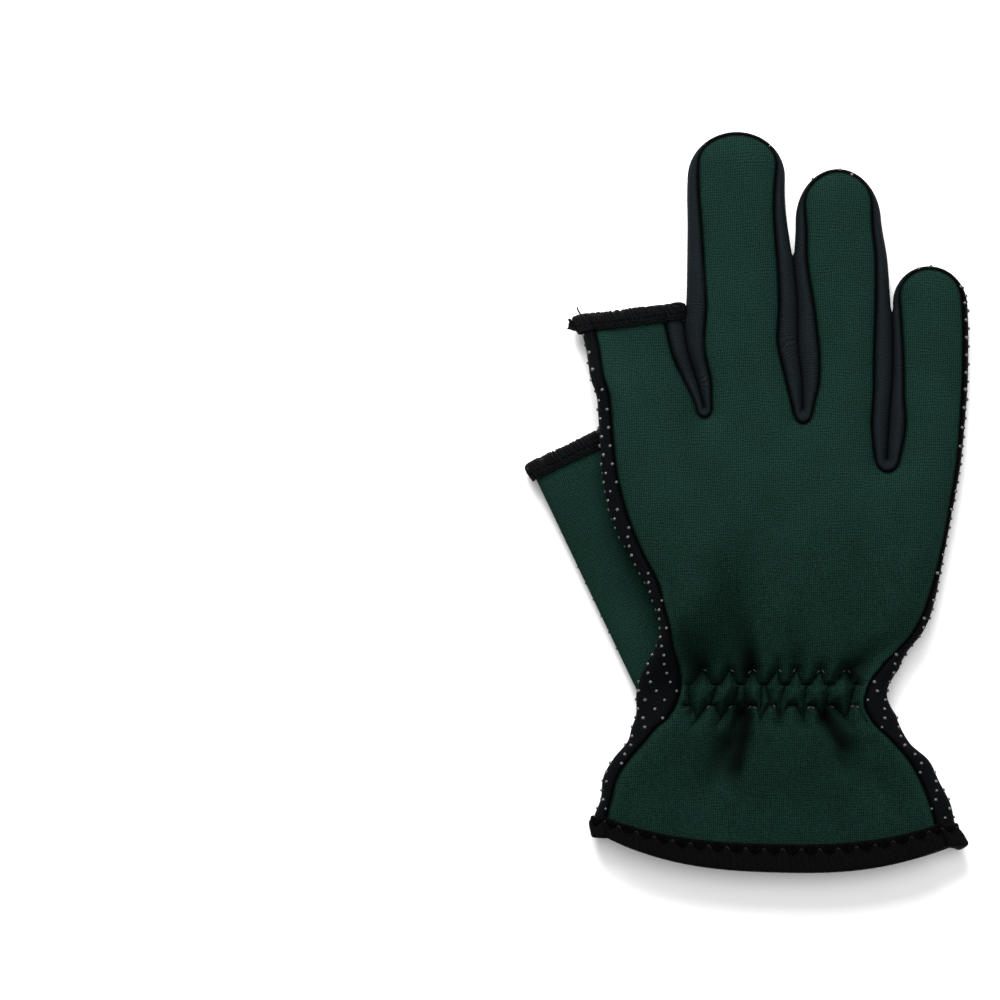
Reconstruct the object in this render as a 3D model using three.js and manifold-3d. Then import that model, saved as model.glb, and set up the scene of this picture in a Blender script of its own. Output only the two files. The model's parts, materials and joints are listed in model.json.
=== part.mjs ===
// A foam rubber fishing glove for the right hand, lying on its palm with the back of the hand up.
// Millimetres, +X towards the little finger, +Y towards the fingertips, +Z up.
// The glove is one skin over the hand and one over the thumb. Each skin is cut into sewn panels,
// and each panel is a wall of cloth with its own outer face, inner face and edges.
import * as THREE from 'three';
import Module from 'manifold-3d';

// Cloth, seams and edgings
const clothThickness = 1.8;
const seamGap = 0.3;
const bindingThickness = 0.9;
const bindingClearance = 0.3;
const fingerBindingHeight = 4.2;
const cuffBindingHeight = 7.5;

// Plan of the cuff and hand
const cuffWidth = 118.4;
const wristWidth = 80.2;
const wristShift = -5.7;
const knuckleWidth = 114.8;
const knuckleShift = -1.2;
const cuffDepth = 38;
const wristBandDepth = 15;
const thumbSideDepth = 86;
const littleSideDepth = 55;
const hemBow = 12;
const hemPower = 2.6;
const hemDrop = 3;
const hemFade = 1.5;
const hemSag = hemBow - hemDrop / 2 - bindingThickness - bindingClearance;
const sideShow = 4;

// Thickness of the lying glove
const cuffHeight = 14;
const wristHeight = 16;
const palmHeight = 15.5;
const fingerHeight = 13;
const undersideInset = 4;

// Shares of the hand at which the palm's thickness begins and ends and that of the fingers begins
const palmStart = 0.35;
const palmEnd = 0.7;
const fingerStart = 1.1;

// Fingers, as long and as wide as the middle one, and the sides shown between them
const middleLength = 90.1;
const middleWidth = 36.2;
const slotSpread = 4;
const mouthSkew = 0.105;
const fourchetteShow = 6.6;
const fingertipRim = 1.5;
const domeReach = 9;

// Thumb, which lies under the thumb side of the hand
const thumbLength = 79;
const thumbWidth = 36;
const thumbHeight = 9.2;
const thumbLean = 25.5;
const thumbBaseInset = 16.2;
const thumbBaseRise = 1;
const thumbClearance = 1;
const thumbBreadthPower = 0.7;
const thumbHeightPower = 0.5;
const liftRun = 24;

// Gathers and folds
const gatherCount = 8;
const gatherDepth = 2;
const gatherReach = 0.62;
const foldDepth = 3;

// Density of the facets
const cuffRows = [0, cuffBindingHeight / cuffDepth, 0.36, 0.54, 0.7, 0.85];
const bandRows = [0, 0.2, 0.4, 0.6, 0.8];
const handRows = [0, 0.1, 0.21, 0.34, 0.48, 0.62, 0.75, 0.88, 1];
const slotColumns = 3;
const sideSteps = 2;
const capRows = 3;
const palmThinning = 0.5;
const thumbRows = [0, 0.1, 0.22, 0.36, 0.52, 0.68, 0.84];
const thumbAround = 16;

// Outline of each side of the hand, from the hem through the gathered wrist band to the fingers.
// out: 0 at the wrist's half width and 1 at that of the cuff or knuckles; show: share of sideShow.
const thumbSide = [
  { zone: 'cuff', at: 0, out: 1, show: 0.96 },
  { zone: 'cuff', at: 0.12, out: 1.04, show: 1 },
  { zone: 'cuff', at: 0.3, out: 0.86, show: 0.8 },
  { zone: 'cuff', at: 0.48, out: 0.8, show: 1.08 },
  { zone: 'cuff', at: 0.64, out: 0.55, show: 1.24 },
  { zone: 'cuff', at: 0.78, out: 0.22, show: 1.3 },
  { zone: 'cuff', at: 0.9, out: 0.12, show: 1.9 },
  { zone: 'band', at: 0, out: 0.02, show: 2.6 },
  { zone: 'band', at: 0.5, out: 0, show: 3.4 },
  { zone: 'hand', at: 0, out: -0.2, show: 2.7 },
  { zone: 'hand', at: 0.07, out: -0.44, show: 1.48 },
  { zone: 'hand', at: 0.15, out: -0.58, show: 0.7 },
  { zone: 'hand', at: 0.23, out: -0.45, show: 0.66 },
  { zone: 'hand', at: 0.32, out: -0.2, show: 0.96 },
  { zone: 'hand', at: 0.43, out: 0.2, show: 1.04 },
  { zone: 'hand', at: 0.53, out: 0.57, show: 1.3 },
  { zone: 'hand', at: 0.64, out: 0.77, show: 1.2 },
  { zone: 'hand', at: 0.75, out: 0.88, show: 1.05 },
  { zone: 'hand', at: 1, out: 1, show: 0.96 },
];
const littleSide = [
  { zone: 'cuff', at: 0, out: 1, show: 1.76 },
  { zone: 'cuff', at: 0.12, out: 0.89, show: 1.56 },
  { zone: 'cuff', at: 0.3, out: 0.82, show: 1.68 },
  { zone: 'cuff', at: 0.48, out: 0.67, show: 1.48 },
  { zone: 'cuff', at: 0.64, out: 0.54, show: 1.6 },
  { zone: 'cuff', at: 0.78, out: 0.29, show: 1.28 },
  { zone: 'band', at: 0, out: 0.12, show: 2.2 },
  { zone: 'band', at: 0.5, out: 0, show: 1.7 },
  { zone: 'hand', at: 0, out: 0.18, show: 1.52 },
  { zone: 'hand', at: 0.1, out: 0.3, show: 0.9 },
  { zone: 'hand', at: 0.21, out: 0.52, show: 0.8 },
  { zone: 'hand', at: 0.35, out: 0.67, show: 0.62 },
  { zone: 'hand', at: 0.63, out: 0.82, show: 0.34 },
  { zone: 'hand', at: 0.88, out: 0.94, show: 0.28 },
  { zone: 'hand', at: 1, out: 1, show: 0.34 },
];

// Slots between the fingers. across: share of the knuckle width from the thumb side to the bottom of
// the slot; depth: share of thumbSideDepth above the wrist band; crotch: share of thumbSideDepth from
// the bottom of the slot up to where the fingers part; halfWidth and rise: shares of slotSpread.
const slots = [
  { name: 'index_middle', across: 0.299, depth: 0.934, halfWidth: 0.6, rise: 0.75, crotch: 0.04 },
  { name: 'middle_ring', across: 0.575, depth: 0.912, halfWidth: 0.75, rise: 1, crotch: 0.055 },
  { name: 'ring_little', across: 0.81, depth: 0.731, halfWidth: 1, rise: 1.25, crotch: 0.05 },
];

// Fingers from the thumb side outwards. length and width: shares of middleLength and middleWidth, from
// the base to the tip or the cut-off mouth; cap: share of the width that the rounded tip is long; base:
// share of thumbSideDepth above the wrist band; across: share of the knuckle width at the middle of the
// base. In a profile, at is a share of the length, and shift and breadth are shares of the width.
const fingerTable = [
  {
    name: 'index', length: 0.3363, width: 0.956, base: 0.97, across: 0.148, cap: 0, columns: 7,
    rows: [0.25, 0.5], leftWrap: 0.62, rightWrap: 0.86,
    profile: [
      { at: 0, shift: 0, breadth: 1 },
      { at: 0.42, shift: -0.083, breadth: 0.96 },
      { at: 0.7, shift: -0.13, breadth: 0.93 },
      { at: 1, shift: -0.19, breadth: 0.94 },
    ],
  },
  {
    name: 'middle', length: 1, width: 1, base: 0.953, across: 0.444, cap: 0.4, columns: 7,
    rows: [0.12, 0.25, 0.42, 0.6, 0.8], leftWrap: 1.06, rightWrap: 1,
    profile: [
      { at: 0, shift: 0, breadth: 0.88 },
      { at: 0.1, shift: -0.04, breadth: 0.93 },
      { at: 0.24, shift: -0.12, breadth: 1 },
      { at: 0.39, shift: -0.12, breadth: 0.99 },
      { at: 0.53, shift: -0.14, breadth: 0.94 },
      { at: 0.68, shift: -0.165, breadth: 0.88 },
      { at: 0.8, shift: -0.175, breadth: 0.865 },
      { at: 1, shift: -0.15, breadth: 0.86 },
    ],
  },
  {
    name: 'ring', length: 0.9301, width: 0.826, base: 0.888, across: 0.697, cap: 0.57, columns: 6,
    rows: [0.12, 0.25, 0.42, 0.6, 0.79], leftWrap: 0.96, rightWrap: 0.88,
    profile: [
      { at: 0, shift: 0, breadth: 0.88 },
      { at: 0.11, shift: 0.01, breadth: 0.9 },
      { at: 0.21, shift: 0.015, breadth: 0.97 },
      { at: 0.34, shift: -0.005, breadth: 1 },
      { at: 0.5, shift: -0.03, breadth: 1 },
      { at: 0.65, shift: -0.062, breadth: 1 },
      { at: 0.79, shift: -0.085, breadth: 0.92 },
      { at: 1, shift: -0.11, breadth: 0.91 },
    ],
  },
  {
    name: 'little', length: 0.7636, width: 0.68, base: 0.7, across: 0.906, cap: 0.5, columns: 5,
    rows: [0.15, 0.31, 0.5, 0.67, 0.81], leftWrap: 0.64, rightWrap: 0.26,
    profile: [
      { at: 0, shift: 0, breadth: 0.92 },
      { at: 0.16, shift: 0.05, breadth: 0.97 },
      { at: 0.33, shift: 0.08, breadth: 1 },
      { at: 0.51, shift: 0.12, breadth: 0.98 },
      { at: 0.79, shift: 0.12, breadth: 0.97 },
      { at: 1, shift: 0.07, breadth: 0.95 },
    ],
  },
];
const fingers = fingerTable.map((row) => {
  const width = row.width * middleWidth;
  return { ...row, length: row.length * middleLength, width, cap: row.cap * width };
});

// How far the side strips show along a finger, as a share of their fullest
const wrapAlong = [
  { at: 0, show: 0.55 },
  { at: 0.12, show: 0.85 },
  { at: 0.28, show: 1 },
  { at: 0.55, show: 0.74 },
  { at: 0.8, show: 0.5 },
  { at: 1, show: 0.35 },
];

// Folds of the back. Stations run 0 to 1 up the cuff, 1 to 2 over the wrist band and 2 to 3 up the
// hand, and across is a share of the back's width; reach is a share of the wrist band's depth.
const folds = [
  { fromStation: 2.0, fromAcross: 0.36, toStation: 2.32, toAcross: 0.28, depth: 0.5, reach: 0.28 },
  { fromStation: 2.0, fromAcross: 0.59, toStation: 2.14, toAcross: 0.56, depth: 0.5, reach: 0.25 },
  { fromStation: 1.9, fromAcross: 0.04, toStation: 2.08, toAcross: 0.14, depth: 0.5, reach: 0.25 },
  { fromStation: 0.95, fromAcross: 0.42, toStation: 0.34, toAcross: 0.29, depth: 1, reach: 0.4 },
  { fromStation: 0.95, fromAcross: 0.77, toStation: 0.5, toAcross: 0.8, depth: 0.7, reach: 0.35 },
];

// Section of the lying skin: shares of its thickness at the side, at the edge of the back panel and at
// the seam underneath
const sideShare = 0.42;
const seamShare = 0.8;
const underShare = 0.015;

// Shares that settle how one form runs into the next: the seam underneath at a fingertip and at a slot,
// the run of a finger over which it takes up its own shape, and the station where the rows of the hand
// begin to bow to the slots
const capPull = 0.35;
const slotUnder = { rise: 0.8, crotch: 0.3 };
const settleRun = 0.5;
const bowStart = 2.45;
const bandMiddle = 1.5;

// How the underside is lifted: from which share of the thumb, how many edging heights the lift holds
// over the hem and the index finger's mouth, and over which share of the thumb its own end rises
const thumbLiftStart = 0.45;
const hemHold = 1.6;
const mouthHold = 1.4;
const holdRun = 2;
const thumbRamp = { start: 0.7, run: 0.2 };

const colours = {
  back: { color: 0x1d322c, roughness: 0.85, metalness: 0 },
  palm: { color: 0x101313, roughness: 0.75, metalness: 0 },
  fourchette: { color: 0x22292c, roughness: 0.8, metalness: 0 },
  binding: { color: 0x0e1010, roughness: 0.9, metalness: 0 },
};

// Small tools
const lerp = (a, b, t) => a + (b - a) * t;
const clamp = (t) => Math.min(1, Math.max(0, t));
const smooth = (t) => clamp(t) ** 2 * (3 - 2 * clamp(t));
const plan = (x, y) => new THREE.Vector2(x, y);

// Reads a column of a table between its rows on a smooth curve.
function read(table, column, at, key = 'at') {
  const last = table.length - 1;
  if (at <= table[0][key]) return table[0][column];
  if (at >= table[last][key]) return table[last][column];
  let row = 0;
  while (table[row + 1][key] < at) row += 1;
  const span = table[row + 1][key] - table[row][key];
  const t = (at - table[row][key]) / span;
  const slope = (i) => {
    const low = table[Math.max(0, i - 1)];
    const high = table[Math.min(last, i + 1)];
    return ((high[column] - low[column]) / (high[key] - low[key])) * span;
  };
  const a = table[row][column];
  const b = table[row + 1][column];
  const [m, n] = [slope(row), slope(row + 1)];
  return a + t * (m + t * (3 * (b - a) - 2 * m - n + t * (2 * (a - b) + m + n)));
}

// Stations of the sides
const zones = { cuff: 0, band: 1, hand: 2 };
const handDepth = { thumb: thumbSideDepth, little: littleSideDepth };

function stationY(side, station) {
  const cuff = Math.min(station, 1) * cuffDepth;
  const band = clamp(station - 1) * wristBandDepth;
  const drop = side === 'little' ? hemDrop * (1 - clamp(station)) ** hemFade : 0;
  return hemBow + cuff + band + Math.max(0, station - 2) * handDepth[side] - drop;
}

const sideTables = {
  thumb: thumbSide.map((row) => ({ ...row, station: zones[row.zone] + row.at })),
  little: littleSide.map((row) => ({ ...row, station: zones[row.zone] + row.at })),
};
const knuckle = { thumb: knuckleWidth / 2 - knuckleShift, little: knuckleWidth / 2 + knuckleShift };
const wrist = { thumb: wristWidth / 2 - wristShift, little: wristWidth / 2 + wristShift };

// A point of a side's outline and how much of the side shows there
function sidePoint(side, station) {
  const wide = station < bandMiddle ? cuffWidth / 2 : knuckle[side];
  const half = lerp(wrist[side], wide, read(sideTables[side], 'out', station, 'station'));
  const sign = side === 'thumb' ? -1 : 1;
  const show = sideShow * read(sideTables[side], 'show', station, 'station');
  return { edge: plan(sign * half, stationY(side, station)), show, inward: plan(-sign, 0) };
}

const knuckleX = (across) => lerp(-knuckle.thumb, knuckle.little, across);
const handY = (share) => stationY('thumb', 2) + share * thumbSideDepth;

// A point of a finger's side: sign -1 is its thumb side, 1 its little side
function fingerPoint(finger, at, sign) {
  const centre = (t) => {
    const x = knuckleX(finger.across) + finger.width * read(finger.profile, 'shift', t);
    return plan(x, handY(finger.base) + t * finger.length);
  };
  const step = 0.02;
  const along = centre(Math.min(1, at + step)).sub(centre(Math.max(0, at - step))).normalize();
  const out = plan(along.y, -along.x).multiplyScalar(sign);
  const half = (finger.width * read(finger.profile, 'breadth', at)) / 2;
  const wrap = sign < 0 ? finger.leftWrap : finger.rightWrap;
  const outer = (sign < 0 && finger === fingers[0]) || (sign > 0 && finger === fingers[3]);
  const share = outer ? 1 : read(wrapAlong, 'show', at);
  return { centre: centre(at), along, out, half, show: fourchetteShow * wrap * share };
}

// Outline of the skin as a list of stops from the hem on the thumb side, round the fingers, to the hem
// on the little side. A stop has its side point, its seam point on the back and on the underside, and
// the panel that its side belongs to.
function makeStop(edge, inward, show, label, under = undersideInset) {
  return {
    edge,
    label,
    seam: edge.clone().addScaledVector(inward, show),
    under: edge.clone().addScaledVector(inward, under),
  };
}

const palmStations = [
  ...cuffRows,
  ...bandRows.map((at) => 1 + at),
  ...handRows.map((at) => 2 + at),
];

function sideStops(side) {
  return palmStations.map((station) => {
    const { edge, show, inward } = sidePoint(side, station);
    return makeStop(edge, inward, show, 'palm');
  });
}

// Stops up one side of a finger, from just past its base to the last row before the tip
function fingerStops(finger, sign, label) {
  const mouthRows = finger.cap ? [] : [1 - fingerBindingHeight / finger.length, 1];
  const stops = [...finger.rows, ...mouthRows].map((at) => {
    const { centre, along, out, half, show } = fingerPoint(finger, at, sign);
    const edge = centre.clone().addScaledVector(out, half);
    const stop = makeStop(edge, out.clone().negate(), show, label, Math.min(undersideInset, half / 2));
    if (!finger.cap) {
      for (const key of ['edge', 'seam', 'under']) {
        const across = stop[key].clone().sub(centre).dot(out) * sign;
        stop[key].addScaledVector(along, -mouthSkew * across * smooth(at));
      }
    }
    return stop;
  });
  if (!finger.cap) return stops;
  const start = 1 - finger.cap / finger.length;
  const root = fingerPoint(finger, start, sign);
  const tip = fingerPoint(finger, 1, sign);
  for (let row = 1; row <= capRows; row += 1) {
    const angle = (row / (capRows + 1)) * (Math.PI / 2);
    const place = (inset, shorter) => {
      const middle = root.centre.clone().lerp(tip.centre, Math.sin(angle));
      middle.addScaledVector(root.along, -shorter * Math.sin(angle));
      return middle.addScaledVector(root.out, (root.half - inset) * Math.cos(angle));
    };
    stops.push({
      edge: place(0, 0),
      label: row > 1 ? 'palm' : label,
      seam: place(Math.max(fingertipRim, root.show), fingertipRim),
      under: place(root.half * capPull, root.half * capPull),
    });
  }
  return stops;
}

function tipStop(finger) {
  const { centre, along, half } = fingerPoint(finger, 1, 1);
  return {
    edge: centre,
    label: 'palm',
    seam: centre.clone().addScaledVector(along, -fingertipRim),
    under: centre.clone().addScaledVector(along, -half * capPull),
  };
}

// Stops round the bottom of a slot
function slotStops(slot) {
  const bottom = plan(knuckleX(slot.across), handY(slot.depth));
  const stops = [];
  for (let column = 0; column <= slotColumns; column += 1) {
    const angle = (column / slotColumns) * Math.PI;
    const seam = plan(
      -slot.halfWidth * slotSpread * Math.cos(angle),
      slot.rise * slotSpread * (1 - Math.sin(angle)),
    );
    const crotch = slot.crotch * thumbSideDepth;
    const edge = plan(-seamGap * Math.cos(angle), crotch + seamGap * (1 - Math.sin(angle)));
    const under = plan(seam.x, seam.y * slotUnder.rise + crotch * slotUnder.crotch);
    stops.push({
      edge: edge.add(bottom),
      seam: seam.add(bottom),
      under: under.add(bottom),
      label: slot.name,
    });
  }
  return stops;
}

// Rows next to a slot start at the slot's own end and settle into the finger's shape further up.
function blendToSlot(finger, stops, slotEnd, sign) {
  const run = settleRun * finger.length;
  const foot = fingerPoint(finger, 0, sign);
  const plain = makeStop(
    foot.centre.clone().addScaledVector(foot.out, foot.half),
    foot.out.clone().negate(),
    foot.show,
    '',
  );
  const parts = stops.map((stop) => 1 - smooth((stop.edge.y - plain.edge.y) / run));
  for (const key of ['edge', 'seam', 'under']) {
    const shift = slotEnd[key].clone().sub(plain[key]);
    stops.forEach((stop, i) => stop[key].addScaledVector(shift, parts[i]));
  }
}

// Neighbouring fingers stay a seam gap apart.
function keepApart(left, right) {
  const across = (stops, y) => {
    for (let i = 1; i < stops.length; i += 1) {
      const [low, high] = [stops[i - 1].edge, stops[i].edge];
      if (y >= low.y && y <= high.y) return lerp(low.x, high.x, (y - low.y) / (high.y - low.y || 1));
    }
    return null;
  };
  const pull = (stops, others, sign) => stops.map((stop) => {
    const other = across(others, stop.edge.y);
    const room = other === null ? Infinity : sign * (other - stop.edge.x);
    return room < 2 * seamGap ? (sign * (room - 2 * seamGap)) / 2 : 0;
  });
  const leftPull = pull(left, right, 1);
  const rightPull = pull(right, left, -1);
  for (const [stops, pulls] of [[left, leftPull], [right, rightPull]]) {
    stops.forEach((stop, i) => stop.edge.add(plan(pulls[i], 0)));
  }
}

const thumbStops = sideStops('thumb');
const littleStops = sideStops('little');
const slotRings = slots.map(slotStops);
const fingerSides = fingers.map((finger, i) => {
  const left = fingerStops(finger, -1, i === 0 ? 'palm' : slots[i - 1].name);
  const right = fingerStops(finger, 1, i === 3 ? 'palm' : slots[i].name);
  const leftEnd = i === 0 ? thumbStops.at(-1) : slotRings[i - 1].at(-1);
  const rightEnd = i === 3 ? littleStops.at(-1) : slotRings[i][0];
  blendToSlot(finger, left, leftEnd, -1);
  blendToSlot(finger, right, rightEnd, 1);
  return { finger, left, right, tip: finger.cap ? tipStop(finger) : null, leftEnd, rightEnd };
});
for (let i = 0; i < 3; i += 1) {
  const start = slotRings[i];
  keepApart([start[0], ...fingerSides[i].right], [start.at(-1), ...fingerSides[i + 1].left]);
}

// Thumb frame: from the middle of its base, under the wrist, to the middle of its mouth
const thumbAlong = plan(
  -Math.sin(THREE.MathUtils.degToRad(thumbLean)),
  Math.cos(THREE.MathUtils.degToRad(thumbLean)),
);
const thumbAcross = plan(thumbAlong.y, -thumbAlong.x);
const thumbBase = plan(-wrist.thumb + thumbBaseInset, handY(0) + thumbBaseRise);
const thumbMouth = thumbBase.clone().addScaledVector(thumbAlong, thumbLength);
const bindingStand = bindingThickness + bindingClearance;
const thumbLift = thumbHeight + 2 * bindingStand + thumbClearance;

function distanceToSegment(point, from, to) {
  const step = to.clone().sub(from);
  const t = clamp(point.clone().sub(from).dot(step) / step.lengthSq());
  return point.distanceTo(from.clone().addScaledVector(step, t));
}

// How high the underside stands over the surface: over the thumb, and where an edging is under it
const indexMouth = fingerSides[0].left.at(-1).edge.clone().lerp(fingerSides[0].right.at(-1).edge, 0.5);
function lift(point) {
  const root = thumbBase.clone().lerp(thumbMouth, thumbLiftStart);
  const away = distanceToSegment(point, root, thumbMouth) - thumbWidth / 2;
  const overThumb = thumbLift * smooth(1 - away / liftRun);
  const bowed = point.y - hemBow * (2 * Math.abs(point.x) / cuffWidth) ** hemPower;
  const stand = bindingStand + seamGap;
  const overHem = stand * smooth(hemHold - bowed / (holdRun * cuffBindingHeight));
  const toMouth = Math.max(0, point.distanceTo(indexMouth) - fingers[0].width / 2);
  const overMouth = stand * smooth(mouthHold - toMouth / (holdRun * fingerBindingHeight));
  return Math.max(overThumb, overHem, overMouth);
}

// Thickness of the lying skin, by how far a point is from the lowest part of the hem
const heights = [
  { at: 0, height: cuffHeight },
  { at: cuffDepth / 2, height: cuffHeight },
  { at: stationY('thumb', bandMiddle), height: wristHeight },
  { at: handY(palmStart), height: palmHeight },
  { at: handY(palmEnd), height: palmHeight },
  { at: handY(fingerStart), height: fingerHeight },
];
const heightAt = (point) => read(heights, 'height', point.y);

// The skin's vertices and faces. A face lists its vertices anticlockwise as seen from outside.
const vertices = [];
const faces = [];
const addVertex = (x, y, z) => vertices.push(new THREE.Vector3(x, y, z)) - 1;
function addFace(loop, label) {
  const kept = loop.filter((id, i) => id !== loop[(i + 1) % loop.length]);
  if (kept.length > 2) faces.push({ loop: kept, label });
}

// Side strip of a stop: ids from the seam on the back, over the side, to the seam underneath
function strip(stop) {
  const { edge, seam, under } = stop;
  const foot = lift(edge);
  const height = heightAt(edge);
  const ids = [];
  for (let step = 0; step <= 2 * sideSteps; step += 1) {
    const angle = (1 - step / sideSteps) * (Math.PI / 2);
    const target = angle > 0 ? seam : under;
    const spot = edge.clone().lerp(target, 1 - Math.cos(angle));
    const reach = angle > 0 ? seamShare - sideShare : sideShare - underShare;
    ids.push(addVertex(spot.x, spot.y, foot + height * (sideShare + reach * Math.sin(angle))));
  }
  return ids;
}
const withStrip = (stops) => stops.forEach((stop) => { stop.ids = strip(stop); });
withStrip(thumbStops);
withStrip(littleStops);
slotRings.forEach(withStrip);
fingerSides.forEach(({ left, right, tip }) => withStrip([...left, ...(tip ? [tip] : []), ...right]));

// Stops in order round the fingers, and the seam outline that the back's dome is measured from
const ring = [
  ...thumbStops,
  ...fingerSides.flatMap(({ left, right, tip }, i) => [
    ...left,
    ...(tip ? [tip] : ['mouth']),
    ...[...right].reverse(),
    ...(i < 3 ? slotRings[i] : []),
  ]),
  ...[...littleStops].reverse(),
];
const seamSpans = [];
ring.forEach((stop, i) => {
  const next = ring[i + 1];
  if (next && stop !== 'mouth' && next !== 'mouth') {
    seamSpans.push([stop.seam, next.seam]);
    for (let step = 0; step < 2 * sideSteps; step += 1) {
      addFace([next.ids[step], next.ids[step + 1], stop.ids[step + 1], stop.ids[step]],
        stop.label === 'palm' ? next.label : stop.label);
    }
  }
});

// Columns across the hand: those of each finger with those of the slots between them. Each has its
// share of the knuckle line and how far its row bows to meet the slots.
const baseLeft = thumbStops.at(-1);
const baseRight = littleStops.at(-1);
function baseColumns(key, thin) {
  const points = [];
  fingerSides.forEach(({ finger, leftEnd, rightEnd }, i) => {
    const count = Math.max(2, Math.round(finger.columns * thin));
    for (let column = points.length ? 1 : 0; column <= count; column += 1) {
      points.push(leftEnd[key].clone().lerp(rightEnd[key], column / count));
    }
    if (i < 3) slotRings[i].slice(1).forEach((stop) => points.push(stop[key].clone()));
  });
  const width = baseRight[key].x - baseLeft[key].x;
  return points.map((point) => {
    const share = (point.x - baseLeft[key].x) / width;
    return { point, share, bow: point.y - lerp(baseLeft[key].y, baseRight[key].y, share) };
  });
}

// A point of the hand between its two sides
function handPoint(key, left, right, station, column) {
  const spot = left[key].clone().lerp(right[key], column.share);
  spot.y += column.bow * smooth((station - bowStart) / (3 - bowStart));
  const hem = 1 - Math.abs(2 * column.share - 1) ** hemPower;
  spot.y -= hemSag * hem * (1 - clamp(station)) ** hemFade;
  return spot;
}

const foldPoint = (station, across) => {
  const left = sidePoint('thumb', station);
  const right = sidePoint('little', station);
  return handPoint('edge', left, right, station, { share: across, bow: 0 });
};
const foldLines = folds.map((fold) => ({
  from: foldPoint(fold.fromStation, fold.fromAcross),
  to: foldPoint(fold.toStation, fold.toAcross),
  depth: fold.depth * foldDepth,
  reach: fold.reach * wristBandDepth,
}));

// Height of the back over its seams: domed, folded, and gathered at the wrist
function backHeight(point, station, share) {
  const near = Math.min(...seamSpans.map(([a, b]) => distanceToSegment(point, a, b)));
  const dome = 1 - (1 - clamp(near / domeReach)) ** 2;
  const inside = smooth(near / sideShow);
  let height = heightAt(point) * (seamShare + (1 - seamShare) * dome);
  for (const { from, to, depth, reach } of foldLines) {
    height -= inside * depth * Math.exp(-((distanceToSegment(point, from, to) / reach) ** 2));
  }
  if (station !== null) {
    const puff = Math.abs(Math.sin(Math.PI * gatherCount * share));
    const window = Math.exp(-(((station - bandMiddle) / gatherReach) ** 2));
    height -= gatherDepth * window * (1 - puff) * inside;
  }
  return height;
}

// A sheet between the seams, on the back or underneath. The strips hold its edge vertices.
function sheet({ key, end, thin, label, flip, heightOf }) {
  const columns = baseColumns(key, thin);
  const place = (spot, station, share) => {
    return addVertex(spot.x, spot.y, lift(spot) + heightOf(spot, station, share));
  };
  const rows = palmStations.map((station, row) => columns.map((column, c) => {
    if (c === 0) return thumbStops[row].ids[end];
    if (c === columns.length - 1) return littleStops[row].ids[end];
    const spot = handPoint(key, thumbStops[row], littleStops[row], station, column);
    return row === palmStations.length - 1 ? null : place(spot, station, column.share);
  }));
  const base = rows.at(-1);
  let at = 0;
  const fillSpan = (points, leftId, rightId) => points.map((spot, c) => {
    if (c === 0) return leftId;
    return c === points.length - 1 ? rightId : place(spot, null, 0);
  });
  const between = (a, b, count) => {
    return Array.from({ length: count + 1 }, (_, c) => a.clone().lerp(b, c / count));
  };
  const quads = (low, high) => {
    for (let c = 0; c + 1 < low.length; c += 1) {
      const loop = [low[c], low[c + 1], high[c + 1], high[c]];
      addFace(flip ? loop.reverse() : loop, label);
    }
  };
  fingerSides.forEach(({ finger, left, right, tip, leftEnd, rightEnd }, i) => {
    const count = Math.max(2, Math.round(finger.columns * thin));
    const span = between(leftEnd[key], rightEnd[key], count);
    const foot = fillSpan(span, leftEnd.ids[end], rightEnd.ids[end]);
    foot.forEach((id, c) => { base[at + c] = id; });
    at += count;
    let low = foot;
    left.forEach((stop, row) => {
      const points = between(stop[key], right[row][key], count);
      const high = fillSpan(points, stop.ids[end], right[row].ids[end]);
      quads(low, high);
      low = high;
    });
    if (tip) quads(low, low.map(() => tip.ids[end]));
    if (i < 3) {
      slotRings[i].forEach((stop, c) => { base[at + c] = stop.ids[end]; });
      at += slotColumns;
    }
    finger.mouth = { ...finger.mouth, [key]: low };
  });
  for (let row = 0; row + 1 < rows.length; row += 1) quads(rows[row], rows[row + 1]);
  return rows;
}
const backRows = sheet({
  key: 'seam', end: 0, thin: 1, label: 'back', flip: false, heightOf: backHeight,
});
const palmRows = sheet({
  key: 'under', end: 2 * sideSteps, thin: palmThinning, label: 'palm', flip: true, heightOf: () => 0,
});

// Loops of vertices round the two mouths of the skin, clockwise as seen from outside the glove
const sideOf = (stop) => stop.ids.slice(1, -1);
const indexSides = fingerSides[0];
const hemLoop = [
  ...backRows[0],
  ...sideOf(littleStops[0]),
  ...[...palmRows[0]].reverse(),
  ...sideOf(thumbStops[0]).reverse(),
];
const indexLoop = [
  ...indexSides.finger.mouth.seam,
  ...sideOf(indexSides.right.at(-1)),
  ...[...indexSides.finger.mouth.under].reverse(),
  ...sideOf(indexSides.left.at(-1)).reverse(),
].reverse();

// Unit normal of each vertex, from the faces round it
function vertexNormals(points, loops) {
  const normals = points.map(() => new THREE.Vector3());
  const triangle = new THREE.Triangle();
  const normal = new THREE.Vector3();
  for (const { loop } of loops) {
    for (let i = 1; i + 1 < loop.length; i += 1) {
      triangle.set(points[loop[0]], points[loop[i]], points[loop[i + 1]]).getNormal(normal);
      normal.multiplyScalar(triangle.getArea());
      for (const id of [loop[0], loop[i], loop[i + 1]]) normals[id].add(normal);
    }
  }
  return normals.map((sum) => sum.normalize());
}

// Geometry of a closed solid from triangles of points
function solidGeometry(points, triangles) {
  const geometry = new THREE.BufferGeometry();
  const flat = new Float32Array(points.flatMap((p) => [p.x, p.y, p.z]));
  geometry.setAttribute('position', new THREE.BufferAttribute(flat, 3));
  geometry.setIndex(triangles.flat());
  return geometry;
}

function fan(loop) {
  const triangles = [];
  for (let i = 1; i + 1 < loop.length; i += 1) triangles.push([loop[0], loop[i], loop[i + 1]]);
  return triangles;
}

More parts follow.
